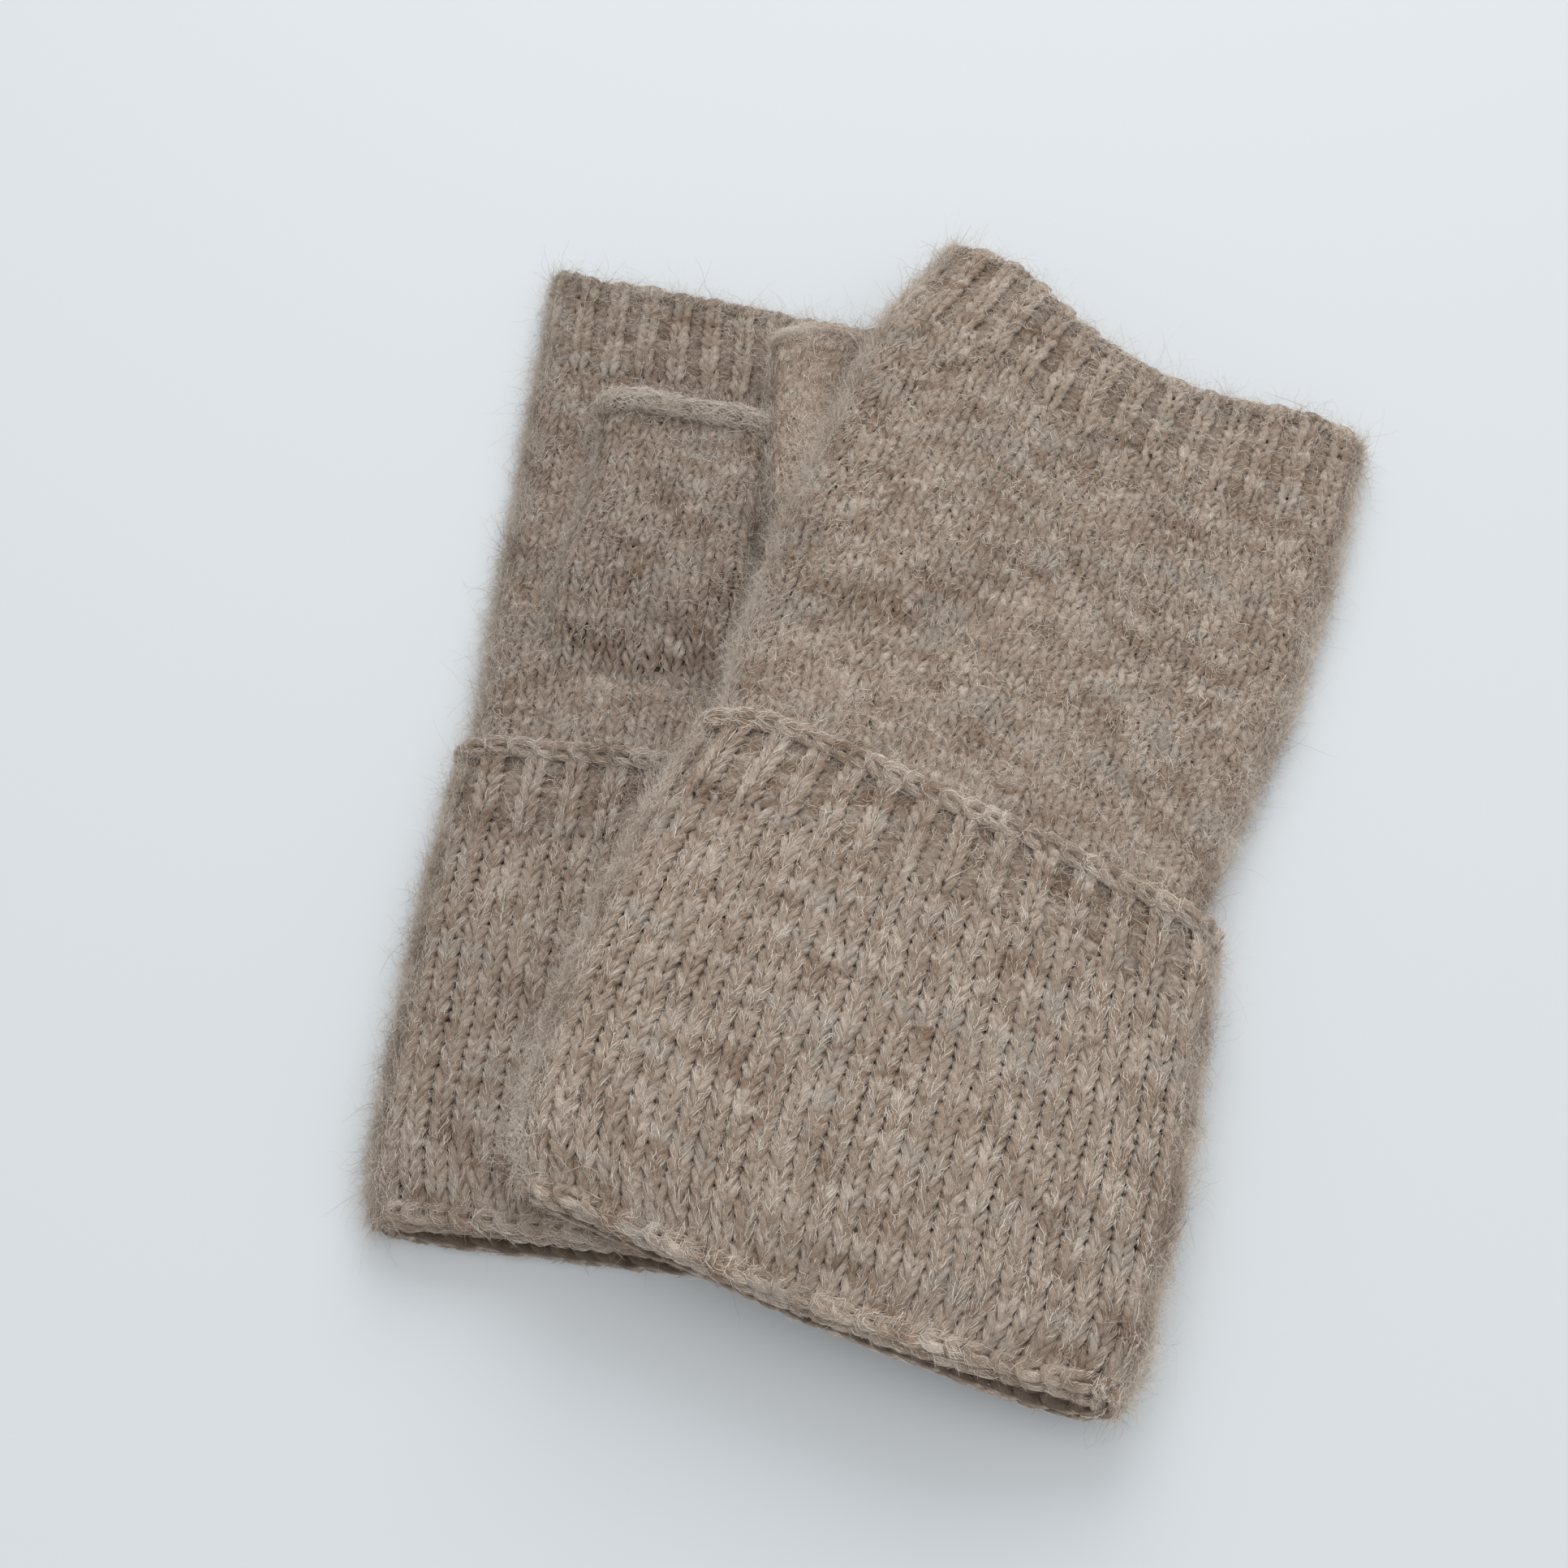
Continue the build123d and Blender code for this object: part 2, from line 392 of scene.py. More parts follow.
@dataclass(frozen=True)
class Yarn:
    """Round of the yarn that a course or chain is worked in."""

    radius: float
    sides: int = 6
    flatten: float = 0.9
    unevenness: float = 0.1
    twist: float = 9.0
    seed: int = 11

    def rings(self, path: Path) -> Mesh:
        """Sweeps the yarn along a path.

        Args:
            path: The path.

        Returns:
            The yarn's mesh, one closed tube a line.
        """
        lines, count, _ = path.centre.shape
        ahead = np.roll(path.centre, -1, axis=1)
        tangent = unit(ahead - np.roll(path.centre, 1, axis=1))
        side = unit(np.cross(tangent, path.normal))
        up = np.cross(side, tangent)
        along = np.cumsum(np.linalg.norm(ahead - path.centre, axis=2), axis=1)
        rng = np.random.default_rng(self.seed)
        knots = rng.normal(1.0, self.unevenness, (lines, count // 3 + 2))
        place = np.arange(count) / 3.0
        low = place.astype(int)
        part = place - low
        radius = self.radius * (knots[:, low] * (1.0 - part) + knots[:, low + 1] * part)
        turn = TURN * np.arange(self.sides) / self.sides
        spread = radius[..., None, None]
        points = (
            path.centre[:, :, None]
            + spread * np.cos(turn)[:, None] * side[:, :, None]
            + spread * self.flatten * np.sin(turn)[:, None] * up[:, :, None]
        )
        points[..., 2] = np.maximum(points[..., 2], TABLE_GAP)
        line = np.arange(lines)[:, None, None] * count * self.sides
        ring = np.arange(count)[None, :, None]
        spoke = np.arange(self.sides)[None, None, :]
        after, beside = (ring + 1) % count, (spoke + 1) % self.sides
        corners = [(ring, spoke), (after, spoke), (after, beside), (ring, beside)]
        quads = np.stack([line + r * self.sides + k for r, k in corners], -1)
        angle = turn[None, None, :] + (TURN * along / self.twist)[..., None]
        run = np.broadcast_to(along[..., None], angle.shape)
        strand = np.stack([run, np.cos(angle), np.sin(angle)], -1)
        place = np.array(np.broadcast_to(path.lay[:, :, None], (*angle.shape, 3)))
        # Height above the mean surface round the yarn's section; the finish paints shade where it is
        # low.
        place[..., 2] += spread[..., 0] * self.flatten * np.sin(turn)
        return Mesh(
            points.reshape(-1, 3), quads.reshape(-1, 4), strand.reshape(-1, 3), place.reshape(-1, 3)
        )


@dataclass(frozen=True)
class Band:
    """Stretch of a tube between two lines across it, each with a shift along the tube."""

    start: Line
    start_shift: float
    end: Line
    end_shift: float

    def at(self, u: Array, share: Array) -> Array:
        """Place along the tube.

        Args:
            u: Places across.
            share: 0 at the start line and 1 at the end line.

        Returns:
            The v of each place.
        """
        low = self.start(u) + self.start_shift
        high = self.end(u) + self.end_shift
        return low + (high - low) * share

    def length(self) -> float:
        """Length of the band at the middle of the tube."""
        return float(self.at(np.array(0.0), 1.0) - self.at(np.array(0.0), 0.0))


@dataclass(frozen=True)
class Gauge:
    """Stitch size of a knitted fabric and the shape of its loops.

    columns is the number of stitches round the tube and row the height of one. splay is how
    far a loop's legs lean out and pinch how far they close up, as shares of the stitch's
    width. reach is half a loop's height as a share of the row. depth is how far its legs stand
    before its head, and overlap how far their lower ends stand before their upper ones.
    """

    columns: int
    row: float
    yarn: Yarn
    splay: float = 0.27
    pinch: float = 0.055
    reach: float = 1.2
    depth: float = 0.42
    overlap: float = 0.24
    samples: int = 12
    unevenness: float = 0.06
    rib_relief: float = 0.6
    rib_spread: float = 0.09

    def courses(self, tube: Tube, band: Band, stitch: Stitch, seed: int) -> Path:
        """Knits a band of a tube, one closed line of loops a course.

        Args:
            tube: The tube that the courses go round.
            band: The stretch of the tube.
            stitch: Plain fabric, or rib with every other column turned.
            seed: Seed of the loops' unevenness.

        Returns:
            The yarn's path.
        """
        rows = max(1, round(band.length() / self.row))
        count = self.columns * self.samples
        column = np.arange(count) / self.samples
        swing = TURN * column
        rng = np.random.default_rng(seed)
        drift = [self.wander(rng, rows, column) * self.unevenness for _ in range(3)]
        legs = np.arange(self.samples // 4, count, self.samples // 2)
        face = np.ones(count)
        warped = column
        if stitch is Stitch.RIB:
            face = np.clip(2.4 * np.sin(math.pi * column), -1.0, 1.0)
            warped = column - self.rib_spread * np.cos(math.pi * column)
            legs = legs[(legs // self.samples) % 2 == 0]
        lap = warped + self.splay * np.sin(2.0 * swing) + self.pinch * np.sin(swing)
        s = (lap[None, :] + drift[0]) / self.columns
        share = (np.arange(rows)[:, None] + 0.5) / rows
        base = np.broadcast_to((warped / self.columns)[None, :], s.shape)
        u, _, girth = tube.across(base, band.at(np.zeros_like(s), share))
        v = band.at(u, share) - self.reach * self.row * np.cos(swing) + drift[1] * self.row
        bow = self.depth * (1.0 - 2.0 * np.abs(np.cos(swing)) ** 2.6)
        off = (bow + self.overlap * np.cos(swing) * np.abs(np.sin(swing))) * face + drift[2]
        if stitch is Stitch.RIB:
            off = off + self.rib_relief * face
        point, normal = tube.framed(s, v)
        lay = np.stack([base * girth, v, off], -1)
        return Path(point + normal * off[..., None], normal, lay, legs)

    @staticmethod
    def wander(rng: np.random.Generator, rows: int, column: Array) -> Array:
        """Unevenness that drifts from stitch to stitch along each course.

        Args:
            rng: Source of the random draws.
            rows: Number of courses.
            column: Place along the course in stitches.

        Returns:
            Values of about unit size, courses by places.
        """
        total = int(column[-1]) + 1
        draw = rng.normal(0.0, 1.0, (rows, total))
        low = column.astype(int)
        part = column - low
        return draw[:, low] * (1.0 - part) + draw[:, (low + 1) % total] * part


@dataclass(frozen=True)
class Chain:
    """Cast-off or turning chain: links that lie over one another along an edge.

    tilt turns the chain from lying in the fabric, at 0, to standing up from it, at 90.
    """

    links: int
    width: float
    yarn: Yarn
    tilt: float
    lift: float
    samples: int = 12

    def along(self, tube: Tube, line: Line, shift: float, seed: int) -> Path:
        """Works the chain round a tube.

        Args:
            tube: The tube that the chain goes round.
            line: The edge, across the tube.
            shift: Distance of the chain past the edge.
            seed: Seed of the links' unevenness.

        Returns:
            The yarn's path.
        """
        rng = np.random.default_rng(seed)
        link = np.arange(self.links)[:, None]
        turn = TURN * np.arange(self.samples)[None, :] / self.samples
        uneven = rng.normal(0.0, 0.08, (self.links, 3))
        s = (link + uneven[:, :1] - 0.82 * np.cos(turn)) / self.links
        u, _, girth = tube.across(s, line(np.zeros_like(s)) + shift)
        reach = self.width * np.sin(turn) * (0.65 + 0.35 * np.cos(turn)) * (1.0 + uneven[:, 1:2])
        tilt = math.radians(self.tilt)
        v = line(u) + shift + reach * math.cos(tilt)
        off = self.lift + reach * math.sin(tilt) + 0.8 * self.yarn.radius * np.cos(turn)
        off = off + 0.3 * uneven[:, 2:3]
        point, normal = tube.framed(s, v)
        lay = np.stack([s * girth, v, off], -1)
        return Path(point + normal * off[..., None], normal, lay, np.arange(self.samples))


@dataclass(frozen=True)
class Roll:
    """Edge that rolls over itself: a core with wraps of yarn round it."""

    wraps: int
    radius: float
    yarn: Yarn
    lift: float
    slant: float = 0.6
    samples: int = 12
    core_points: int = 96

    def along(self, tube: Tube, line: Line, shift: float, seed: int) -> tuple[Path, Path]:
        """Works the roll round a tube.

        Args:
            tube: The tube that the roll goes round.
            line: The edge, across the tube.
            shift: Distance of the roll past the edge.
            seed: Seed of the wraps' unevenness.

        Returns:
            The paths of the wraps and of the core.
        """
        rng = np.random.default_rng(seed)
        uneven = rng.normal(0.0, 0.09, (self.wraps, 3))
        turn = TURN * np.arange(self.samples)[None, :] / self.samples
        s = np.arange(self.wraps)[:, None] + uneven[:, :1] + self.slant * np.sin(turn)
        radius = self.radius * (1.0 + uneven[:, 1:2])
        ahead, out = radius * np.cos(turn), radius * np.sin(turn)
        wraps = self.traced(tube, line, shift, s / self.wraps, ahead, out)
        lap = np.arange(self.core_points)[None, :] / self.core_points
        still = np.zeros_like(lap)
        return wraps, self.traced(tube, line, shift, lap, still, still)

    def traced(
        self, tube: Tube, line: Line, shift: float, s: Array, ahead: Array, out: Array
    ) -> Path:
        """Path of points about the edge.

        Args:
            tube: The tube.
            line: The edge, across the tube.
            shift: Distance of the roll past the edge.
            s: Laps of the points.
            ahead: Distances of the points past the roll's middle.
            out: Distances of the points out from the roll's middle.

        Returns:
            The path.
        """
        u, _, girth = tube.across(s, line(np.zeros_like(s)) + shift)
        v = line(u) + shift + ahead
        point, normal = tube.framed(s, v)
        lay = np.stack([s * girth, v, self.lift + out], -1)
        centre = point + normal * (self.lift + out)[..., None]
        return Path(centre, normal, lay, np.arange(s.shape[1]))


@dataclass(frozen=True)
class Backing:
    """Felted inner side of the fabric, a closed skin below the loops.

    outer and inner are its distances from the mean surface, and fill is how high it stands
    between the ribs.
    """

    outer: float = -0.25
    inner: float = -1.1
    fill: float = 0.42
    around: int = 220
    step: float = 2.0
    relief: float = 0.18

    def skin(self, tube: Tube, band: Band, gauge: Gauge, stitch: Stitch) -> Mesh:
        """Builds the skin of a band.

        Args:
            tube: The tube that the skin goes round.
            band: The stretch of the tube.
            gauge: Stitch size, which the bumps of the inner side follow.
            stitch: Plain or rib fabric.

        Returns:
            The skin's mesh, closed over both ends.
        """
        rows = max(2, round(band.length() / self.step))
        share = np.linspace(0.0, 1.0, rows + 1)[:, None]
        s = np.broadcast_to(np.arange(self.around)[None, :] / self.around, (rows + 1, self.around))
        u, _, girth = tube.across(s, band.at(np.zeros_like(s), share))
        v = band.at(u, share)
        point, normal = tube.framed(s, v)
        outer = np.full(s.shape, self.outer)
        if stitch is Stitch.RIB:
            valley = np.clip(0.5 - 1.2 * np.sin(math.pi * s * gauge.columns), 0.0, 1.0)
            outer = outer + (self.fill - self.outer) * valley
        bumps = self.relief * np.cos(TURN * s * gauge.columns) * np.cos(TURN * v / gauge.row)
        outside = point + normal * outer[..., None]
        inside = point + normal * (self.inner + bumps)[..., None]
        loop = np.concatenate([outside, inside[::-1]])
        loop[..., 2] = np.maximum(loop[..., 2], TABLE_GAP)
        total = len(loop)
        ring = np.arange(total)[:, None]
        spoke = np.arange(self.around)[None, :]
        after, beside = (ring + 1) % total, (spoke + 1) % self.around
        corners = [(ring, spoke), (ring, beside), (after, beside), (after, spoke)]
        quads = np.stack([r * self.around + k for r, k in corners], -1)
        lay = np.stack([s * girth, v, outer], -1)
        lay = np.concatenate([lay, lay[::-1]])
        strand = lay * np.array([1.0, 0.2, 0.0])
        return Mesh(
            loop.reshape(-1, 3), quads.reshape(-1, 4), strand.reshape(-1, 3), lay.reshape(-1, 3)
        )


@dataclass(frozen=True)
class Marl:
    """Slow change of the dyed tone over the fabric, drawn out along the courses."""

    waves: int = 14
    around: float = 11.0
    along: float = 9.0
    seed: int = 23

    def at(self, lay: Array) -> Array:
        """Tone at places of the fabric.

        Args:
            lay: Places in millimetres round and along the tube, in the last axis.

        Returns:
            Values of about unit size, high where the wool is pale.
        """
        rng = np.random.default_rng(self.seed)
        pace = rng.normal(0.0, 1.0, (self.waves, 2)) / (self.around, self.along)
        phase = rng.uniform(0.0, TURN, self.waves)
        swing = TURN * (lay[..., None, 0] * pace[:, 0] + lay[..., None, 1] * pace[:, 1])
        return np.sin(swing + phase).sum(-1) * math.sqrt(2.0 / self.waves)


@dataclass(frozen=True)
class Hairs:
    """Thin tapered wool fibres, each a closed three-sided sweep."""

    radius: float
    joints: int
    seed: int

    def sweep(self, line: Array, normal: Array, pallor: Array) -> list[Mesh]:
        """Sweeps the hairs and sorts them by tone.

        Args:
            line: Points of the hairs, as hairs by points by 3.
            normal: Surface normal at each hair's root.
            pallor: How pale each hair is beside the others.

        Returns:
            A mesh for each of the tones.
        """
        rng = np.random.default_rng(self.seed)
        order = np.argsort(-pallor, kind="stable")
        line, normal = line[order], normal[order]
        line[..., 2] = np.clip(line[..., 2], 2.0 * self.radius, HAIR_TOP)
        tangent = unit(np.gradient(line, axis=1))
        side = unit(np.cross(tangent, normal[:, None] + 0.01))
        up = np.cross(side, tangent)
        taper = 1.0 - 0.65 * np.abs(np.linspace(-0.6, 1.0, self.joints)) ** 2
        radius = self.radius * rng.uniform(0.55, 1.5, len(line))[:, None] * taper[None, :]
        turn = TURN * np.arange(3) / 3
        spread = radius[..., None, None]
        points = line[:, :, None] + spread * (
            np.cos(turn)[:, None] * side[:, :, None] + np.sin(turn)[:, None] * up[:, :, None]
        )
        pallor = pallor[order]
        cuts = [int((pallor > tone.value[0]).sum()) for tone in FibreTone][:-1]
        return [self.closed(part) for part in np.split(points, cuts)]

    def closed(self, points: Array) -> Mesh:
        """Closed mesh of the hairs whose rings are given.

        Args:
            points: Corners, as hairs by rings by 3 by 3.

        Returns:
            The mesh.
        """
        hair = np.arange(len(points))[:, None, None] * self.joints * 3
        ring = np.arange(self.joints - 1)[None, :, None]
        spoke = np.arange(3)[None, None, :]
        beside = (spoke + 1) % 3
        corners = [(ring, spoke), (ring + 1, spoke), (ring + 1, beside), (ring, beside)]
        quads = np.stack([hair + r * 3 + k for r, k in corners], -1).reshape(-1, 4)
        last = (self.joints - 1) * 3
        caps = np.array([[0, 1, 2, 2], [last + 2, last + 1, last, last]])
        quads = np.concatenate([quads, (hair + caps).reshape(-1, 4)])
        corners = points.reshape(-1, 3)
        return Mesh(corners, quads, np.zeros_like(corners), np.zeros_like(corners))


@dataclass(frozen=True)
class Combed:
    """Fibres that lie along the yarn of the stitches' legs.

    per_leg is their number on one leg, stray is how far they turn off it, in radians, and
    tone is how pale they are beside the others. Fibres above FLANK, in millimetres from the
    mean surface, are painted paler, up to the CREST of the yarn, and fibres below it darker:
    painted light on the tops of the yarn and painted shade in its hollows.
    """

    per_leg: float
    length: float
    stray: float
    lift: float = 0.1
    radius: float = 0.045
    under_share: float = 0.3
    joints: int = 4
    tone: float = 0.0

    CREST = 0.95
    FLANK = 0.6
    TOP_LIGHT_GAIN = 1.5
    MARL_SHARE = 0.45
    TONE_SPREAD = 0.75

    def grow(self, path: Path, yarn: Yarn, seed: int) -> list[Mesh]:
        """Grows the fibres on a path.

        Args:
            path: The yarn's path.
            yarn: The yarn.
            seed: Seed of the fibres' places.

        Returns:
            A mesh for each of the tones.
        """
        rng = np.random.default_rng(seed)
        lines, samples, _ = path.centre.shape
        share = 1.0
        count = int(self.per_leg * lines * len(path.legs) * share)
        line = rng.integers(0, lines, count)
        at = (rng.choice(path.legs, count) + rng.integers(-1, 2, count)) % samples
        upward = path.normal[line, at, 2] > -0.2
        kept = upward | (rng.uniform(0.0, 1.0, count) < self.under_share)
        line, at, count = line[kept], at[kept], int(kept.sum())
        here, normal = path.centre[line, at], path.normal[line, at]
        ahead = path.centre[line, (at + 1) % samples]
        tangent = unit(ahead - path.centre[line, (at - 1) % samples])
        side = unit(np.cross(tangent, normal))
        up = np.cross(side, tangent)
        angle = rng.uniform(0.1, 0.9, count)[:, None] * math.pi
        turned = rng.normal(0.0, self.stray, count)[:, None]
        outward = np.cos(angle) * side + np.sin(angle) * up
        heading = tangent * np.cos(turned) + np.cross(outward, tangent) * np.sin(turned)
        heading = heading * rng.choice([-1.0, 1.0], count)[:, None]
        bent = np.cross(outward, heading)
        length = self.length * np.clip(rng.lognormal(0.0, 0.35, count), 0.4, 2.4)[:, None]
        t = np.linspace(-0.5, 0.5, self.joints)[None, :, None]
        raised = rng.normal(0.0, self.lift, count)[:, None]
        curl = rng.normal(0.0, 0.3, (count, 2))[:, :, None]
        hair = (
            (here + outward * yarn.radius * 1.02)[:, None]
            + (length * heading)[:, None] * t
            + (length * raised * up)[:, None] * (t + 0.5)
            - (up * length * 0.16)[:, None] * t * t
            + bent[:, None] * (curl[:, :1] * t * t + curl[:, 1:] * np.sin(6.0 * t)) * 0.8
        )
        lay = path.lay[line, at]
        # Painted light and shade: fibres high on the yarn are made paler and low ones darker.
        rise = lay[:, 2] + yarn.radius * np.sin(angle[:, 0])
        relief = self.TOP_LIGHT_GAIN * (np.minimum(rise, self.CREST) - self.FLANK)
        marl = self.MARL_SHARE * Marl().at(lay)
        pallor = self.tone + relief + marl + rng.normal(0.0, self.TONE_SPREAD, count)
        return Hairs(self.radius, self.joints, seed + 1).sweep(hair, normal, pallor)


@dataclass(frozen=True)
class Felted:
    """Curly fibres that lie over the fabric in all directions, or stand out of it.

    density is fibres a square centimetre. lift is how steeply they leave the fabric, from 0,
    lying on it, to 1, straight out. rim_share is the share that grows along the two sides.
    """

    density: float
    length: float
    lift: float
    radius: float = 0.042
    height: float = 0.9
    crimp: float = 0.35
    joints: int = 5
    under_share: float = 0.3
    rim_share: float = 0.0
    tone: float = 0.1

    RIM_SPREAD = 0.012
    MARL_SHARE = 0.5
    TONE_SPREAD = 0.8

    def grow(self, tube: Tube, band: Band, seed: int) -> list[Mesh]:
        """Grows the fibres of a band.

        Args:
            tube: The tube that the fibres lie on.
            band: The stretch of the tube.
            seed: Seed of the fibres' places and curls.

        Returns:
            A mesh for each of the tones.
        """
        rng = np.random.default_rng(seed)
        _, _, girth = tube.across(np.array(0.0), band.at(np.array(0.0), 0.5))
        density = self.density * 1.0
        count = int(density * float(girth) * band.length() / 100.0)
        s = rng.uniform(0.0, 1.0, count)
        rim = rng.choice([0.0, 0.5], count) + rng.normal(0.0, self.RIM_SPREAD, count)
        s = np.where(rng.uniform(0.0, 1.0, count) < self.rim_share, rim % 1.0, s)
        s = s[(s < 0.55) | (s > 0.95) | (rng.uniform(0.0, 1.0, count) < self.under_share)]
        count = len(s)
        u, _, _ = tube.across(s, band.at(np.zeros(count), 0.5))
        v = band.at(u, rng.uniform(0.0, 1.0, count))
        point, normal = tube.framed(s, v)
        forward = unit(tube.point(s, v + 0.3) - point)
        across = np.cross(forward, normal)
        heading = rng.uniform(0.0, TURN, count)[:, None]
        flat = np.cos(heading) * across + np.sin(heading) * forward
        turned = np.cross(normal, flat)
        lift = np.clip(rng.normal(self.lift, self.lift * 0.5, count), 0.0, 1.3)[:, None]
        length = self.length * np.clip(rng.lognormal(0.0, 0.4, count), 0.3, 3.0)[:, None]
        bend = rng.normal(0.0, 0.45, count)[:, None]
        root = rng.uniform(0.2, 1.0, count)[:, None] * self.height
        wave = rng.uniform(0.0, TURN, (count, 2))[:, :, None]
        t = np.linspace(0.0, 1.0, self.joints)[None, :, None]
        sideways = self.crimp * np.sin(6.0 * t + wave[:, :1])
        upward = self.crimp * np.abs(np.sin(5.0 * t + wave[:, 1:])) * (0.3 + lift[:, None])
        hair = (
            (point + normal * root)[:, None]
            + (length * flat)[:, None] * t
            + (length * bend * turned)[:, None] * t * t
            + (length * lift * normal)[:, None] * (t - 0.35 * t * t)
            + turned[:, None] * sideways
            + normal[:, None] * upward
        )
        lay = np.stack([s * girth, v], -1)
        marl = self.MARL_SHARE * Marl().at(lay)
        pallor = self.tone + marl + rng.normal(0.0, self.TONE_SPREAD, count)
        return Hairs(self.radius, self.joints, seed + 1).sweep(hair, normal, pallor)


class NodeGroups:
    """Shader node groups that the wool finishes share, each built once."""

    built: dict[str, bpy.types.NodeTree] = {}

    @classmethod
    def start(
        cls, name: str, inputs: dict[str, tuple[str, object]], outputs: dict[str, str]
    ) -> tuple[bpy.types.NodeTree, bpy.types.Node, bpy.types.Node]:
        """Opens a new group with its sockets.

        Args:
            name: Name of the group.
            inputs: Socket type and first value of each input.
            outputs: Socket type of each output.

        Returns:
            The group, its input node and its output node.
        """
        group = bpy.data.node_groups.new(name, "ShaderNodeTree")
        for label, (kind, value) in inputs.items():
            socket = group.interface.new_socket(label, in_out="INPUT", socket_type=kind)
            if value is not None:
                socket.default_value = value
        for label, kind in outputs.items():
            group.interface.new_socket(label, in_out="OUTPUT", socket_type=kind)
        entry = group.nodes.new("NodeGroupInput")
        leave = group.nodes.new("NodeGroupOutput")
        cls.built[name] = group
        return group, entry, leave

    @classmethod
    def patches(cls) -> bpy.types.NodeTree:
        """Soft-edged patches of a dyed fibre, drawn out along the courses.

        Returns:
            The group, with inputs Lay, Scale, Low and High and the output Mask.
        """
        if "patches" in cls.built:
            return cls.built["patches"]
        group, entry, leave = cls.start(
            "patches",
            {
                "Lay": ("NodeSocketVector", None),
                "Scale": ("NodeSocketVector", (0.1, 0.3, 0.6)),
                "Low": ("NodeSocketFloat", 0.45),
                "High": ("NodeSocketFloat", 0.65),
            },
            {"Mask": "NodeSocketFloat"},
        )
        nodes, links = group.nodes, group.links
        stretch = nodes.new("ShaderNodeVectorMath")
        stretch.operation = "MULTIPLY"
        noise = nodes.new("ShaderNodeTexNoise")
        noise.inputs["Scale"].default_value = 1.0
        noise.inputs["Detail"].default_value = 4.0
        noise.inputs["Roughness"].default_value = 0.62
        ramp = nodes.new("ShaderNodeMapRange")
        links.new(entry.outputs["Lay"], stretch.inputs[0])
        links.new(entry.outputs["Scale"], stretch.inputs[1])
        links.new(stretch.outputs["Vector"], noise.inputs["Vector"])
        links.new(noise.outputs["Fac"], ramp.inputs["Value"])
        links.new(entry.outputs["Low"], ramp.inputs["From Min"])
        links.new(entry.outputs["High"], ramp.inputs["From Max"])
        links.new(ramp.outputs["Result"], leave.inputs["Mask"])
        return group

    @classmethod
    def hollows(cls) -> bpy.types.NodeTree:
        """Darkening of the fabric's hollows, where the fibres shade one another.

        Returns:
            The group, with inputs Lay, Low and High, in millimetres from the mean surface,
            and the output Open.
        """
        if "hollows" in cls.built:
            return cls.built["hollows"]
        group, entry, leave = cls.start(
            "hollows",
            {
                "Lay": ("NodeSocketVector", None),
                "Low": ("NodeSocketFloat", -0.3),
                "High": ("NodeSocketFloat", 1.0),
            },
            {"Open": "NodeSocketFloat"},
        )
        nodes, links = group.nodes, group.links
        parts = nodes.new("ShaderNodeSeparateXYZ")
        ramp = nodes.new("ShaderNodeMapRange")
        ramp.interpolation_type = "SMOOTHSTEP"
        links.new(entry.outputs["Lay"], parts.inputs[0])
        links.new(parts.outputs["Z"], ramp.inputs["Value"])
        links.new(entry.outputs["Low"], ramp.inputs["From Min"])
        links.new(entry.outputs["High"], ramp.inputs["From Max"])
        links.new(ramp.outputs["Result"], leave.inputs["Open"])
        return group

    @classmethod
    def strands(cls) -> bpy.types.NodeTree:
        """Fine fibres along the twisted yarn.

        Returns:
            The group, with inputs Strand, Run and Scale and the outputs Streak and Height.
        """
        if "strands" in cls.built:
            return cls.built["strands"]
        group, entry, leave = cls.start(
            "strands",
            {
                "Strand": ("NodeSocketVector", None),
                "Run": ("NodeSocketFloat", 0.12),
                "Scale": ("NodeSocketFloat", 6.0),
            },
            {"Streak": "NodeSocketFloat", "Height": "NodeSocketFloat"},
        )
        nodes, links = group.nodes, group.links
        parts = nodes.new("ShaderNodeSeparateXYZ")
        run = nodes.new("ShaderNodeMath")
        run.operation = "MULTIPLY"
        joined = nodes.new("ShaderNodeCombineXYZ")
        links.new(entry.outputs["Strand"], parts.inputs[0])
        links.new(parts.outputs["X"], run.inputs[0])
        links.new(entry.outputs["Run"], run.inputs[1])
        links.new(run.outputs[0], joined.inputs["X"])
        links.new(parts.outputs["Y"], joined.inputs["Y"])
        links.new(parts.outputs["Z"], joined.inputs["Z"])
        fine = nodes.new("ShaderNodeTexNoise")
        fine.inputs["Detail"].default_value = 4.0
        fine.inputs["Roughness"].default_value = 0.7
        links.new(joined.outputs[0], fine.inputs["Vector"])
        links.new(entry.outputs["Scale"], fine.inputs["Scale"])
        sharpen = nodes.new("ShaderNodeMapRange")
        sharpen.inputs["From Min"].default_value = 0.36
        sharpen.inputs["From Max"].default_value = 0.64
        links.new(fine.outputs["Fac"], sharpen.inputs["Value"])
        links.new(sharpen.outputs["Result"], leave.inputs["Streak"])
        links.new(fine.outputs["Fac"], leave.inputs["Height"])
        return group


Colour = tuple[float, float, float]


@dataclass(frozen=True)
class Patch:
    """Patches of one dyed fibre in the marled wool."""

    colour: Colour
    scale: tuple[float, float, float]
    low: float
    high: float


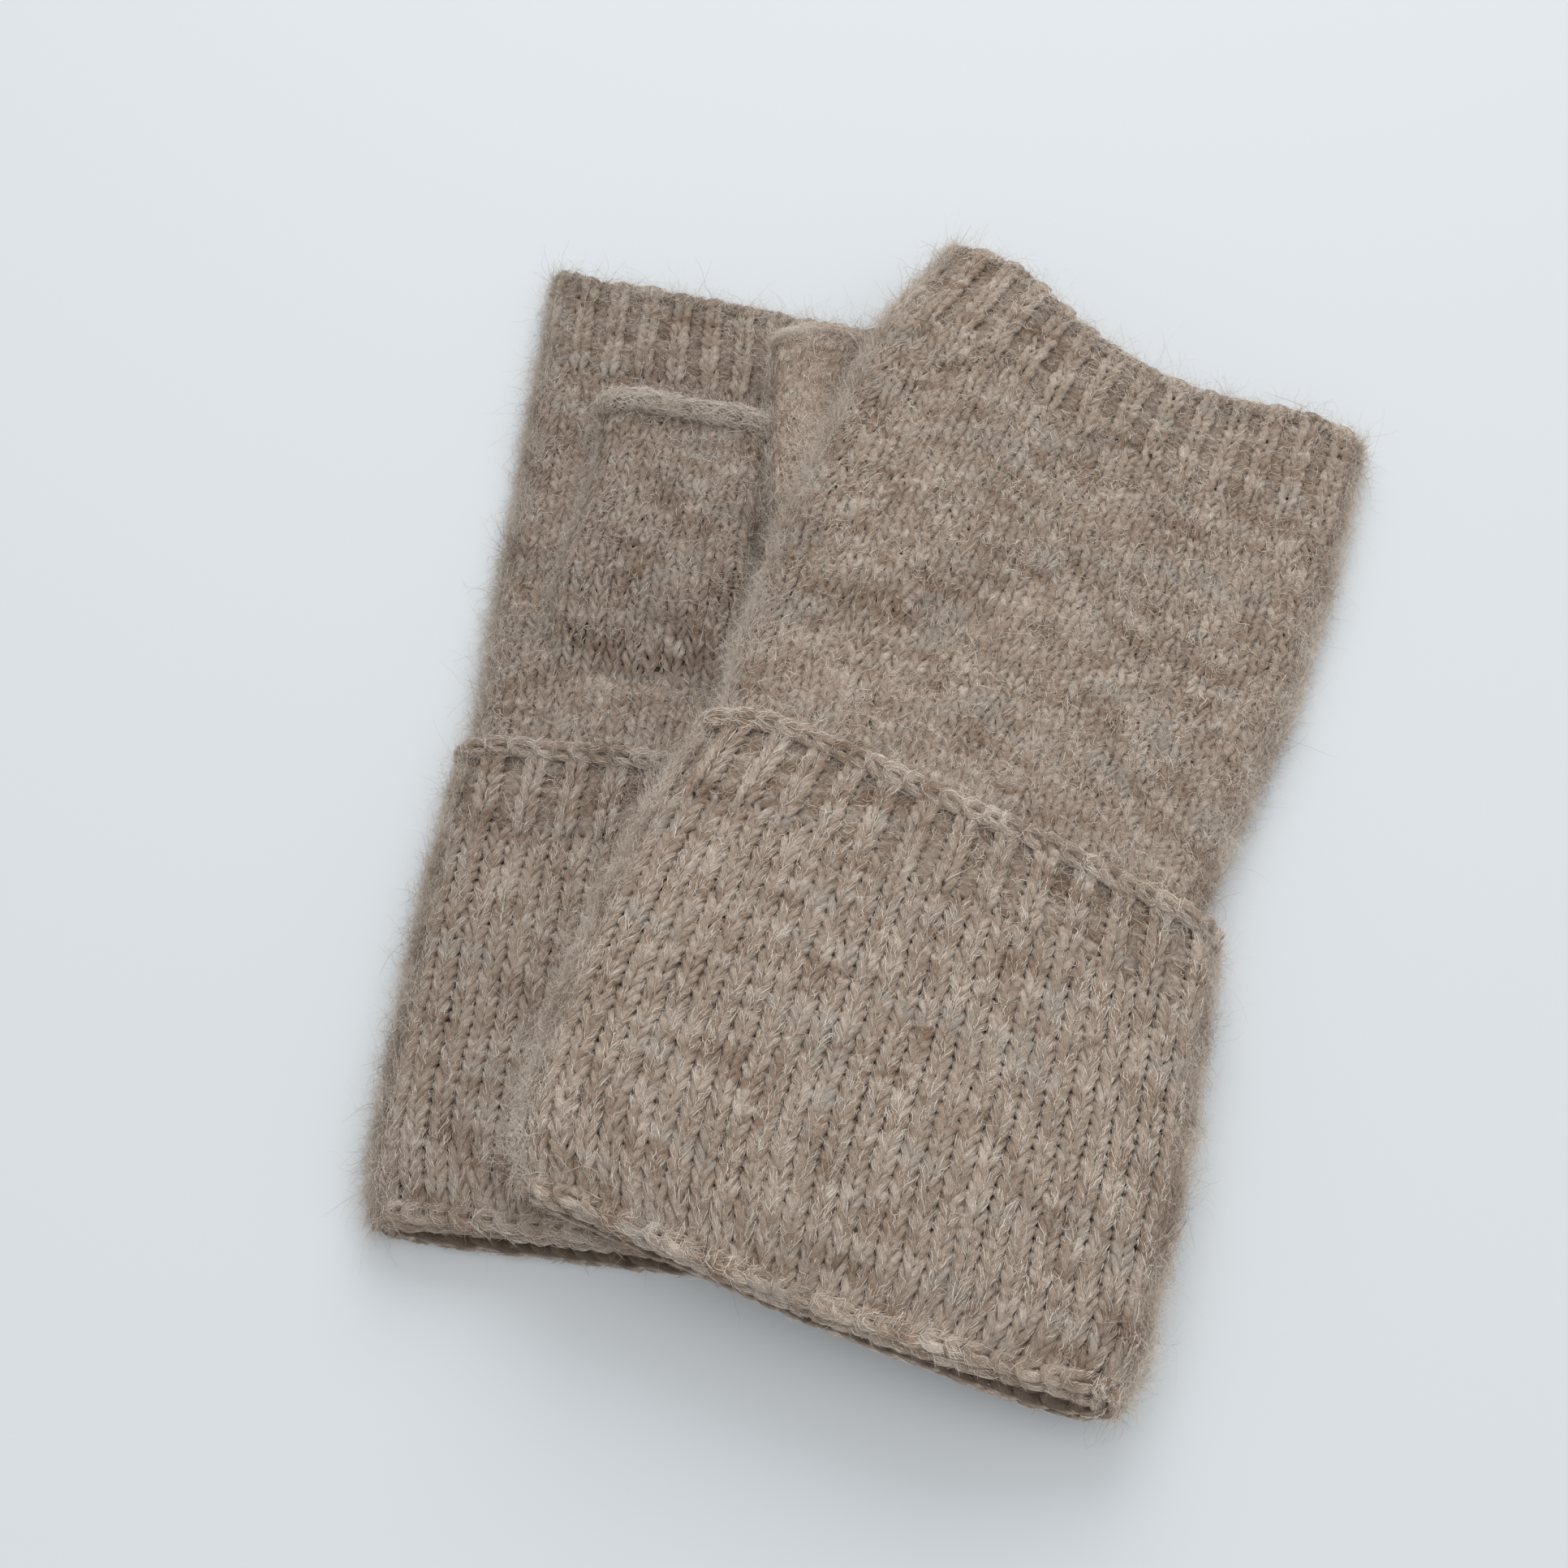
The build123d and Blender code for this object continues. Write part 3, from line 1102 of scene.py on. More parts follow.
@dataclass(frozen=True)
class WoolFinish:
    """Brushed marled wool as yarn: heather patches, fibre streaks, a soft sheen, and painted shade
    that darkens the colour in the fabric's hollows, low below the mean surface.

    depth scales every colour, paler above 1 and darker below.
    """

    name: str
    ground: Colour = (0.54, 0.43, 0.345)
    patches: tuple[Patch, ...] = (
        Patch((0.33, 0.225, 0.155), (0.09, 0.16, 0.0), 0.46, 0.64),
        Patch((0.80, 0.69, 0.59), (0.15, 0.24, 0.0), 0.49, 0.66),
        Patch((0.53, 0.475, 0.415), (0.07, 0.12, 0.0), 0.54, 0.66),
    )
    depth: float = 1.0
    shade: float = 0.5
    # Painted shade: how dark the colour is painted where the fabric lies low, and the height above
    # the mean surface where that shade stops.
    hollow_shade: float = 0.28
    hollow_shade_top: float = 0.95
    bump_m: float = 0.00022

    def scaled_colour(self, colour: Colour) -> tuple[float, float, float, float]:
        """Colour scaled by the depth, with full alpha."""
        return (colour[0] * self.depth, colour[1] * self.depth, colour[2] * self.depth, 1.0)

    def marl(self, tree: bpy.types.NodeTree) -> bpy.types.NodeSocket:
        """Adds the marled colour.

        Args:
            tree: Node tree of the material.

        Returns:
            The colour's socket.
        """
        nodes, links = tree.nodes, tree.links
        lay = nodes.new("ShaderNodeAttribute")
        lay.attribute_name = "lay"
        ground = nodes.new("ShaderNodeRGB")
        ground.outputs[0].default_value = self.scaled_colour(self.ground)
        colour = ground.outputs[0]
        for patch in self.patches:
            mask = nodes.new("ShaderNodeGroup")
            mask.node_tree = NodeGroups.patches()
            mask.inputs["Scale"].default_value = patch.scale
            mask.inputs["Low"].default_value = patch.low
            mask.inputs["High"].default_value = patch.high
            mix = nodes.new("ShaderNodeMix")
            mix.data_type = "RGBA"
            mix.inputs[7].default_value = self.scaled_colour(patch.colour)
            links.new(lay.outputs["Vector"], mask.inputs["Lay"])
            links.new(mask.outputs["Mask"], mix.inputs["Factor"])
            links.new(colour, mix.inputs[6])
            colour = mix.outputs[2]
        return colour

    def material(self) -> bpy.types.Material:
        """Builds the material.

        Returns:
            The material.
        """
        material = bpy.data.materials.new(self.name)
        material.use_nodes = True
        nodes, links = material.node_tree.nodes, material.node_tree.links
        shader = nodes["Principled BSDF"]
        shader.inputs["Roughness"].default_value = 0.95
        shader.inputs["Specular IOR Level"].default_value = 0.12
        shader.inputs["Sheen Weight"].default_value = 0.2
        shader.inputs["Sheen Roughness"].default_value = 0.6
        shader.inputs["Sheen Tint"].default_value = (0.95, 0.86, 0.78, 1.0)
        strand = nodes.new("ShaderNodeAttribute")
        strand.attribute_name = "strand"
        fibres = nodes.new("ShaderNodeGroup")
        fibres.node_tree = NodeGroups.strands()
        links.new(strand.outputs["Vector"], fibres.inputs["Strand"])
        strength = nodes.new("ShaderNodeMapRange")
        strength.inputs["To Min"].default_value = 1.0
        strength.inputs["To Max"].default_value = 0.0
        deep = nodes.new("ShaderNodeMix")
        deep.data_type = "RGBA"
        deep.blend_type = "MULTIPLY"
        deep.inputs[7].default_value = (self.shade, self.shade * 0.93, self.shade * 0.87, 1.0)
        links.new(fibres.outputs["Streak"], strength.inputs["Value"])
        links.new(strength.outputs["Result"], deep.inputs["Factor"])
        links.new(self.marl(material.node_tree), deep.inputs[6])
        # Painted shade in the hollows: the colour darkens with the height below the mean surface.
        lay = nodes.new("ShaderNodeAttribute")
        lay.attribute_name = "lay"
        hollows = nodes.new("ShaderNodeGroup")
        hollows.node_tree = NodeGroups.hollows()
        hollows.inputs["High"].default_value = self.hollow_shade_top
        shut = nodes.new("ShaderNodeMapRange")
        shut.inputs["To Min"].default_value = 1.0
        shut.inputs["To Max"].default_value = 0.0
        hollow_shade = nodes.new("ShaderNodeMix")
        hollow_shade.data_type = "RGBA"
        hollow_shade.blend_type = "MULTIPLY"
        hollow_shade.inputs[7].default_value = (self.hollow_shade, self.hollow_shade * 0.9, self.hollow_shade * 0.8, 1.0)
        links.new(lay.outputs["Vector"], hollows.inputs["Lay"])
        links.new(hollows.outputs["Open"], shut.inputs["Value"])
        links.new(shut.outputs["Result"], hollow_shade.inputs["Factor"])
        links.new(deep.outputs[2], hollow_shade.inputs[6])
        links.new(hollow_shade.outputs[2], shader.inputs["Base Color"])
        bump = nodes.new("ShaderNodeBump")
        bump.inputs["Strength"].default_value = 0.9
        bump.inputs["Distance"].default_value = self.bump_m
        links.new(fibres.outputs["Height"], bump.inputs["Height"])
        links.new(bump.outputs["Normal"], shader.inputs["Normal"])
        return material


class FibreTone(Enum):
    """Dyed tones of the loose fibres: least pallor of the fibres and colour."""

    CREAM = (0.75, (0.90, 0.81, 0.71))
    OATMEAL = (-0.05, (0.67, 0.555, 0.46))
    FAWN = (-0.95, (0.46, 0.355, 0.275))
    BROWN = (-9.0, (0.24, 0.165, 0.115))


@dataclass(frozen=True)
class FibreFinish:
    """Single loose wool fibres of one tone."""

    name: str
    tone: FibreTone
    depth: float = 1.0

    def material(self) -> bpy.types.Material:
        """Builds the material."""
        material = bpy.data.materials.new(f"{self.name}_{self.tone.name.lower()}")
        material.use_nodes = True
        shader = material.node_tree.nodes["Principled BSDF"]
        colour = [part * self.depth for part in self.tone.value[1]]
        shader.inputs["Base Color"].default_value = (*colour, 1.0)
        shader.inputs["Roughness"].default_value = 0.7
        shader.inputs["Specular IOR Level"].default_value = 0.3
        return material


@dataclass(frozen=True)
class TableFinish:
    """Plain pale table."""

    colour: tuple[float, float, float, float] = (0.668, 0.697, 0.716, 1.0)

    def material(self) -> bpy.types.Material:
        """Builds the material."""
        material = bpy.data.materials.new("pale_table")
        material.use_nodes = True
        shader = material.node_tree.nodes["Principled BSDF"]
        shader.inputs["Base Color"].default_value = self.colour
        shader.inputs["Roughness"].default_value = 0.6
        shader.inputs["Specular IOR Level"].default_value = 0.2
        return material


class Wardrobe:
    """The finishes of one glove, each made once."""

    # Painted shade: the felted skin below the loops, the wrist lining, the hem fold and the cores of
    # the rolled edges take a darker colour, standing for the shade between and under the loops.
    FELT_SHADE_DEPTH = 0.66
    VALLEY_DEPTH = 0.98
    EDGE_DEPTH = 1.1

    def __init__(self, side: Side, depth: float) -> None:
        """Makes the materials.

        Args:
            side: The glove's side, which names them.
            depth: Scale of every colour of the glove, 1 for the plain wool and less for a darker one.
        """
        name = side.value
        self.knit = WoolFinish(f"{name}_marled_wool", depth=depth).material()
        self.felt = WoolFinish(f"{name}_felted_side", depth=depth * self.FELT_SHADE_DEPTH).material()
        self.valley = WoolFinish(f"{name}_felted_rib", depth=depth * self.VALLEY_DEPTH).material()
        self.edge = WoolFinish(f"{name}_edge_wool", depth=depth * self.EDGE_DEPTH).material()
        self.fibres = [FibreFinish(f"{name}_fibre", tone, depth).material() for tone in FibreTone]

    def fuzz(self, *growths: list[Mesh]) -> list[tuple[Mesh, bpy.types.Material]]:
        """Layers of the fibres of several growths, one a tone."""
        return [
            (Mesh.join([growth[i] for growth in growths]), material)
            for i, material in enumerate(self.fibres)
        ]


Layers = list[tuple[Mesh, bpy.types.Material]]


def make_piece(name: str, layers: Layers) -> bpy.types.Object:
    """Makes one Blender object from mesh layers, each with its material.

    Args:
        name: Name of the piece.
        layers: Mesh data and material of each layer.

    Returns:
        The object, in metres in the row frame.
    """
    whole = Mesh.join([mesh for mesh, _ in layers])
    data = bpy.data.meshes.new(name)
    data.vertices.add(len(whole.points))
    data.vertices.foreach_set("co", (whole.points * METRES).astype(np.float32).ravel())
    quads = whole.quads
    corner_count = np.where(quads[:, 2] == quads[:, 3], 3, 4)
    keep = np.ones(quads.shape, bool)
    keep[corner_count == 3, 3] = False
    data.loops.add(int(corner_count.sum()))
    data.loops.foreach_set("vertex_index", quads[keep].astype(np.int32))
    data.polygons.add(len(quads))
    starts = np.concatenate([[0], np.cumsum(corner_count)[:-1]])
    data.polygons.foreach_set("loop_start", starts.astype(np.int32))
    slots = np.concatenate([np.full(len(mesh.quads), i) for i, (mesh, _) in enumerate(layers)])
    data.polygons.foreach_set("material_index", slots.astype(np.int32))
    data.polygons.foreach_set("use_smooth", np.ones(len(quads), bool))
    for label, values in (("strand", whole.strand), ("lay", whole.lay)):
        attribute = data.attributes.new(label, "FLOAT_VECTOR", "POINT")
        attribute.data.foreach_set("vector", values.astype(np.float32).ravel())
    data.update(calc_edges=True)
    for _, material in layers:
        data.materials.append(material)
    piece = bpy.data.objects.new(name, data)
    bpy.context.scene.collection.objects.link(piece)
    LOG.info("%s: %d faces", name, len(quads))
    return piece


CUFF_GAUGE = Gauge(
    columns=56, row=2.0, yarn=Yarn(0.79), pinch=0.036, overlap=0.3, rib_relief=0.68
)
HAND_GAUGE = Gauge(
    columns=56,
    row=1.95,
    yarn=Yarn(0.78, sides=5, unevenness=0.15),
    splay=0.28,
    pinch=0.015,
    depth=0.26,
    overlap=0.12,
    samples=10,
    unevenness=0.08,
    rib_relief=0.75,
)
THUMB_GAUGE = Gauge(
    columns=20,
    row=1.9,
    yarn=Yarn(0.72, sides=5, unevenness=0.15),
    splay=0.28,
    pinch=0.015,
    depth=0.26,
    overlap=0.12,
    samples=10,
    unevenness=0.08,
)
CUFF_COAT = Combed(per_leg=9.0, length=2.0, stray=0.11, lift=0.05, radius=0.052)
HAND_COAT = Combed(per_leg=4.5, length=2.0, stray=0.4, lift=0.14, radius=0.046)
EDGE_COAT = Combed(per_leg=10.0, length=2.1, stray=0.2, lift=0.08, under_share=1.0)
VALLEY_FELT = Felted(density=150.0, length=1.7, lift=0.08, height=1.1, tone=-0.15)
RIB_FELT = Felted(density=45.0, length=2.0, lift=0.1, height=1.9)
CUFF_FELT = Felted(density=16.0, length=2.0, lift=0.1)
HAND_FELT = Felted(density=190.0, length=1.7, lift=0.12, radius=0.038)
CORE_COAT = Combed(per_leg=40.0, length=2.3, stray=0.55, lift=0.3, under_share=0.6, tone=0.9)
HALO = Felted(
    density=85.0, length=2.5, lift=0.7, radius=0.024, crimp=0.5, rim_share=1.0, tone=0.9
)
FLYAWAYS = Felted(
    density=30.0, length=4.2, lift=0.5, radius=0.02, crimp=0.6, joints=7, rim_share=0.5, tone=0.5
)
FRINGE = Felted(
    density=420.0,
    length=3.4,
    lift=0.5,
    radius=0.022,
    crimp=0.6,
    joints=7,
    under_share=1.0,
    tone=0.9,
)


@dataclass(frozen=True)
class Cut:
    """Outline and edges of one glove, in its own plan."""

    cuff_left: Line
    cuff_right: Line
    hand_left: Line
    hand_right: Line
    hem: Line
    slip: Line
    cuff_top: Line
    finger_top: Line


@dataclass
class Assembly:
    """One side's glove or thumb, which is built as named pieces in its own plan."""

    side: Side
    layout: Layout
    wardrobe: Wardrobe
    origin: Array
    lean: float
    seed: int
    hand_body: str

    def piece(self, node: str, slot: Slot, name: str, layers: Layers) -> bpy.types.Object:
        """Makes a piece that stands for one of this side's nodes.

        Args:
            node: The node, without the side.
            slot: Not used.
            name: Name of the piece, without the side.
            layers: Mesh data and material of each layer.

        Returns:
            The piece.
        """
        side = self.side.value
        piece = make_piece(f"{side}_{name}", layers)
        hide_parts(f"{side}_{node}")
        return piece

    def fibres(self, slot: Slot, name: str, *growths: list[Mesh]) -> bpy.types.Object:
        """Makes the piece of the loose fibres.

        Args:
            slot: Not used.
            name: Name of the piece, without the side.
            *growths: The fibres, each growth with a mesh a tone.

        Returns:
            The piece.
        """
        piece = make_piece(f"{self.side.value}_{name}", self.wardrobe.fuzz(*growths))
        return piece

    def row_point(self, v: float, height_m: float) -> tuple[float, float, float]:
        """Point of the row frame on the assembly's axis, in metres."""
        x = self.origin[0] - v * math.sin(self.lean) + self.layout.left_hem[0]
        y = self.origin[1] + v * math.cos(self.lean) + self.layout.left_hem[1]
        return (x * METRES, y * METRES, height_m)


@dataclass
class Glove(Assembly):
    """One glove apart from its thumb: cuff, wrist, hand and their edges."""

    cut: Cut
    cuff_body: str

    CUFF_RIB = 15.0
    FINGER_RIB = 21.0
    EDGE = 2.0
    WRIST_FOLD = (86.0, 112.0)
    WRIST_HEIGHT_M = 0.02
    HAND_START = Line((-90.0, 68.0), (90.0, 60.0))
    CUFF_CENTRE = Line((-6.0, 4.7), (0.0, 5.2), (6.0, 6.4), (14.0, 6.8), (95.0, 6.8))

    def tube(
        self, left: Line, right: Line, inset: float, cap: float, half: Line, centre: Line
    ) -> Tube:
        """Tube of this glove.

        Args:
            left: Left outline.
            right: Right outline.
            inset: How far the outline is drawn in.
            cap: How far in from each side the fabric rounds over.
            half: Half the flattened height along v.
            centre: Height of the middle along v.

        Returns:
            The tube.
        """
        support = Support(over_left=self.side is Side.RIGHT)
        plan = Plan(self.origin, self.lean, left, right, support, self.cut.slip)
        return Tube(plan, inset, cap, half, centre, Waves(seed=self.seed), self.layout)

    def cuff_tube(self, inset: float = 1.0) -> Tube:
        """Turned-up cuff sleeve, or a smaller sleeve inside it."""
        half = Line((-6.0, 3.1), (0.0, 3.7), (6.0, 5.2), (14.0, 6.0), (40.0, 6.2), (88.0, 5.4))
        half.value = half.value - (inset - 1.0)
        outline = (self.cut.cuff_left, self.cut.cuff_right)
        return self.tube(*outline, inset, 9.0, half, self.CUFF_CENTRE)

    def hand_tube(self) -> Tube:
        """Hand tube from inside the cuff to the fingers."""
        half = Line((60.0, 3.0), (88.0, 3.3), (120.0, 3.5), (180.0, 3.3), (215.0, 3.1))
        centre = Line((60.0, 6.4), (88.0, 6.2), (100.0, 5.0), (112.0, 4.4), (215.0, 4.2))
        outline = (self.cut.hand_left, self.cut.hand_right)
        return self.tube(*outline, 0.9, 5.5, half, centre)

    def on_hand(self, piece: bpy.types.Object) -> None:
        """Attaches a piece to the hand's body where the cuff shares it, and otherwise bakes the
        piece's transform into its mesh.
        """
        if self.cuff_body == self.hand_body:
            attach(piece, self.hand_body)
            return
        ends = [self.row_point(v, self.WRIST_HEIGHT_M) for v in self.WRIST_FOLD]
        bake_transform(piece)

    def knit(
        self, tube: Tube, band: Band, gauge: Gauge, stitch: Stitch, coat: Combed, seed: int
    ) -> tuple[Layers, list[Mesh]]:
        """Knits a band.

        Args:
            tube: The tube.
            band: The stretch of the tube.
            gauge: Stitch size.
            stitch: Plain or rib fabric.
            coat: The fibres along its yarn.
            seed: Seed of the band's unevenness.

        Returns:
            The layers of the loops and of the felted skin below them, and the coat.
        """
        path = gauge.courses(tube, band, stitch, self.seed + seed)
        skin = Backing().skin(tube, band, gauge, stitch)
        felt = self.wardrobe.valley if stitch is Stitch.RIB else self.wardrobe.felt
        layers = [(gauge.yarn.rings(path), self.wardrobe.knit), (skin, felt)]
        return layers, coat.grow(path, gauge.yarn, self.seed + seed + 50)

    def build_cuff(self) -> None:
        """Builds the hem, the wrist lining and the turned-up cuff with its rib and edge."""
        tube = self.cuff_tube()
        cut = self.cut
        rib_start = -self.CUFF_RIB - self.EDGE
        cuff = Band(cut.hem, 0.4, cut.cuff_top, rib_start)
        rib = Band(cut.cuff_top, rib_start, cut.cuff_top, -self.EDGE + 0.4)
        plain, coat = self.knit(tube, cuff, CUFF_GAUGE, Stitch.PLAIN, CUFF_COAT, 1)
        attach(self.piece("cuff", Slot.CUFF, "cuff_knit", plain), self.cuff_body)
        ribbed, rib_coat = self.knit(tube, rib, CUFF_GAUGE, Stitch.RIB, CUFF_COAT, 2)
        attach(self.piece("cuff_rib", Slot.CUFF, "cuff_rib_knit", ribbed), self.cuff_body)
        chain = Chain(links=56, width=1.5, yarn=Yarn(0.92), tilt=18.0, lift=1.45)
        path = chain.along(tube, cut.cuff_top, -1.2, self.seed + 3)
        layers = [(chain.yarn.rings(path), self.wardrobe.edge)]
        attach(self.piece("cuff_edge", Slot.EDGE, "cuff_cast_off", layers), self.cuff_body)
        edge_coat = EDGE_COAT.grow(path, chain.yarn, self.seed + 60)
        hem_coats = self.build_hem(tube)
        lining = Backing(outer=0.4, inner=-0.9).skin(
            self.cuff_tube(inset=3.4), Band(cut.hem, 0.6, cut.hem, 88.0), CUFF_GAUGE, Stitch.PLAIN
        )
        layers = [(lining, self.wardrobe.felt)]
        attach(self.piece("wrist_tube", Slot.CUFF, "wrist_lining", layers), self.cuff_body)
        whole = Band(cut.hem, -1.5, cut.cuff_top, -0.5)
        top = Band(cut.cuff_top, -2.5, cut.cuff_top, 0.4)
        piece = self.fibres(
            Slot.CUFF,
            "cuff_fibres",
            coat,
            rib_coat,
            edge_coat,
            *hem_coats,
            VALLEY_FELT.grow(tube, rib, self.seed + 28),
            CUFF_FELT.grow(tube, whole, self.seed + 20),
            FLYAWAYS.grow(tube, whole, self.seed + 21),
            HALO.grow(tube, whole, self.seed + 26),
            FRINGE.grow(tube, top, self.seed + 22),
        )
        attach(piece, self.cuff_body)

    def build_hem(self, tube: Tube) -> list[list[Mesh]]:
        """Builds the hem: the turned fold and the ridge of links along it.

        Args:
            tube: The cuff's tube.

        Returns:
            The fibres of the ridges.
        """
        hem = self.cut.hem
        ridge = Chain(links=56, width=1.5, yarn=Yarn(1.05), tilt=-15.0, lift=0.1)
        inner = self.cuff_tube(inset=3.2)
        paths = [
            ridge.along(tube, hem, 0.0, self.seed + 4),
            ridge.along(inner, hem, -0.5, self.seed + 5),
        ]
        fold = Backing(outer=-0.1, inner=-2.6, relief=0.1).skin(
            tube, Band(hem, -0.7, hem, 2.2), CUFF_GAUGE, Stitch.PLAIN
        )
        layers = [
            (ridge.yarn.rings(paths[0]), self.wardrobe.edge),
            (ridge.yarn.rings(paths[1]), self.wardrobe.edge),
            (fold, self.wardrobe.felt),
        ]
        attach(self.piece("hem_ridge", Slot.EDGE, "hem_chain", layers), self.cuff_body)
        return [EDGE_COAT.grow(path, ridge.yarn, self.seed + 61) for path in paths]

    def build_hand(self) -> None:
        """Builds the hand, the finger rib and its cast-off edge."""
        tube = self.hand_tube()
        cut = self.cut
        rib_start = -self.FINGER_RIB - self.EDGE
        hand = Band(self.HAND_START, 0.0, cut.finger_top, rib_start)
        rib = Band(cut.finger_top, rib_start, cut.finger_top, -self.EDGE + 0.6)
        plain, coat = self.knit(tube, hand, HAND_GAUGE, Stitch.PLAIN, HAND_COAT, 6)
        self.on_hand(self.piece("hand_tube", Slot.HAND, "hand_knit", plain))
        ribbed, rib_coat = self.knit(tube, rib, HAND_GAUGE, Stitch.RIB, HAND_COAT, 7)
        self.on_hand(self.piece("finger_rib", Slot.HAND, "finger_rib_knit", ribbed))
        roll = Roll(wraps=100, radius=0.75, yarn=Yarn(0.62, unevenness=0.15), lift=0.1)
        path, core = roll.along(tube, cut.finger_top, -1.3, self.seed + 8)
        layers = [
            (roll.yarn.rings(path), self.wardrobe.knit),
            (Yarn(0.9).rings(core), self.wardrobe.felt),
        ]
        self.on_hand(self.piece("finger_edge", Slot.EDGE, "finger_cast_off", layers))
        plain_part = Band(cut.cuff_top, -5.0, cut.finger_top, rib_start)
        bare = Band(cut.cuff_top, -5.0, cut.finger_top, -0.5)
        top = Band(cut.finger_top, -3.0, cut.finger_top, 0.0)
        piece = self.fibres(
            Slot.HAND,
            "hand_fibres",
            coat,
            rib_coat,
            EDGE_COAT.grow(path, roll.yarn, self.seed + 62),
            HAND_FELT.grow(tube, plain_part, self.seed + 23),
            VALLEY_FELT.grow(tube, rib, self.seed + 28),
            RIB_FELT.grow(tube, rib, self.seed + 29),
            FLYAWAYS.grow(tube, bare, self.seed + 24),
            HALO.grow(tube, bare, self.seed + 27),
            FRINGE.grow(tube, top, self.seed + 25),
        )
        self.on_hand(piece)

    def build(self) -> None:
        """Builds every piece of the glove."""
        self.build_cuff()
        self.build_hand()


@dataclass
class Thumb(Assembly):
    """Thumb of one glove: the gusset that it grows from, its tube and its rolled edge."""

    left: Line
    right: Line
    tip: Line
    centre: Line
    roll: Roll
    thumb_body: str

    GUSSET = 27.0
    FOLD = (-3.0, 10.0)
    FOLD_HEIGHT_M = 0.012
    ROOT = Line((-40.0, 0.0), (40.0, 0.0))

    def tube(self) -> Tube:
        """Tube of the thumb, from inside the hand to its tip."""
        plan = Plan(self.origin, self.lean, self.left, self.right, Support(over_left=False))
        half = Line((-30.0, 3.0), (0.0, 2.9), (40.0, 2.9))
        return Tube(plan, 0.9, 4.5, half, self.centre, Waves(0.15, 19.0, self.seed), self.layout)

    def on_thumb(self, piece: bpy.types.Object) -> None:
        """Bakes a piece's transform into its mesh."""
        ends = [self.row_point(v, self.FOLD_HEIGHT_M) for v in self.FOLD]
        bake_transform(piece)

    def build(self) -> None:
        """Builds the gusset, the tube, the edge and the loose fibres."""
        tube = self.tube()
        reach = -self.roll.radius - 0.3
        bands = (
            Band(self.ROOT, -self.GUSSET, self.ROOT, 0.0),
            Band(self.ROOT, 0.0, self.tip, reach),
        )
        layers, coats = [], []
        for i, band in enumerate(bands):
            path = THUMB_GAUGE.courses(tube, band, Stitch.PLAIN, self.seed + i)
            skin = Backing(around=72).skin(tube, band, THUMB_GAUGE, Stitch.PLAIN)
            loops = THUMB_GAUGE.yarn.rings(path)
            layers.append([(loops, self.wardrobe.knit), (skin, self.wardrobe.felt)])
            coats.append(HAND_COAT.grow(path, THUMB_GAUGE.yarn, self.seed + 10 + i))
        gusset = self.piece("thumb_gusset", Slot.HAND, "thumb_gusset_knit", layers[0])
        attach(gusset, self.hand_body)
        self.on_thumb(self.piece("thumb_tube", Slot.HAND, "thumb_knit", layers[1]))
        path, core = self.roll.along(tube, self.tip, reach, self.seed + 2)
        edge = [
            (self.roll.yarn.rings(path), self.wardrobe.edge),
            (Yarn(self.roll.radius).rings(core), self.wardrobe.felt),
        ]
        self.on_thumb(self.piece("thumb_edge", Slot.EDGE, "thumb_cast_off", edge))
        band = Band(self.ROOT, -14.0, self.tip, -1.0)
        top = Band(self.tip, -4.0, self.tip, 0.0)
        whole_roll = Yarn(self.roll.radius + self.roll.yarn.radius)
        piece = self.fibres(
            Slot.HAND,
            "thumb_fibres",
            *coats,
            CORE_COAT.grow(core, whole_roll, self.seed + 20),
            HALO.grow(tube, band, self.seed + 24),
            HAND_FELT.grow(tube, band, self.seed + 21),
            FLYAWAYS.grow(tube, band, self.seed + 22),
            FRINGE.grow(tube, top, self.seed + 23),
        )
        self.on_thumb(piece)


@dataclass(frozen=True)
class Lamp:
    """Soft square light that points at the pair, with its power in watts."""

    name: str
    place_m: tuple[float, float, float]
    size_m: float
    power: float

    def hang(self) -> None:
        """Hangs the light."""
        data = bpy.data.lights.new(self.name, "AREA")
        data.shape = "SQUARE"
        data.size = self.size_m
        data.energy = self.power
        lamp = bpy.data.objects.new(self.name, data)
        bpy.context.scene.collection.objects.link(lamp)
        lamp.location = self.place_m
        lamp.rotation_euler = (-Vector(self.place_m)).to_track_quat("-Z", "Y").to_euler()


WINDOW = Lamp("window", (-0.05, 1.15, 1.0), 1.1, 12.4)
CEILING = Lamp("ceiling", (0.15, -0.25, 1.4), 1.8, 11.0)


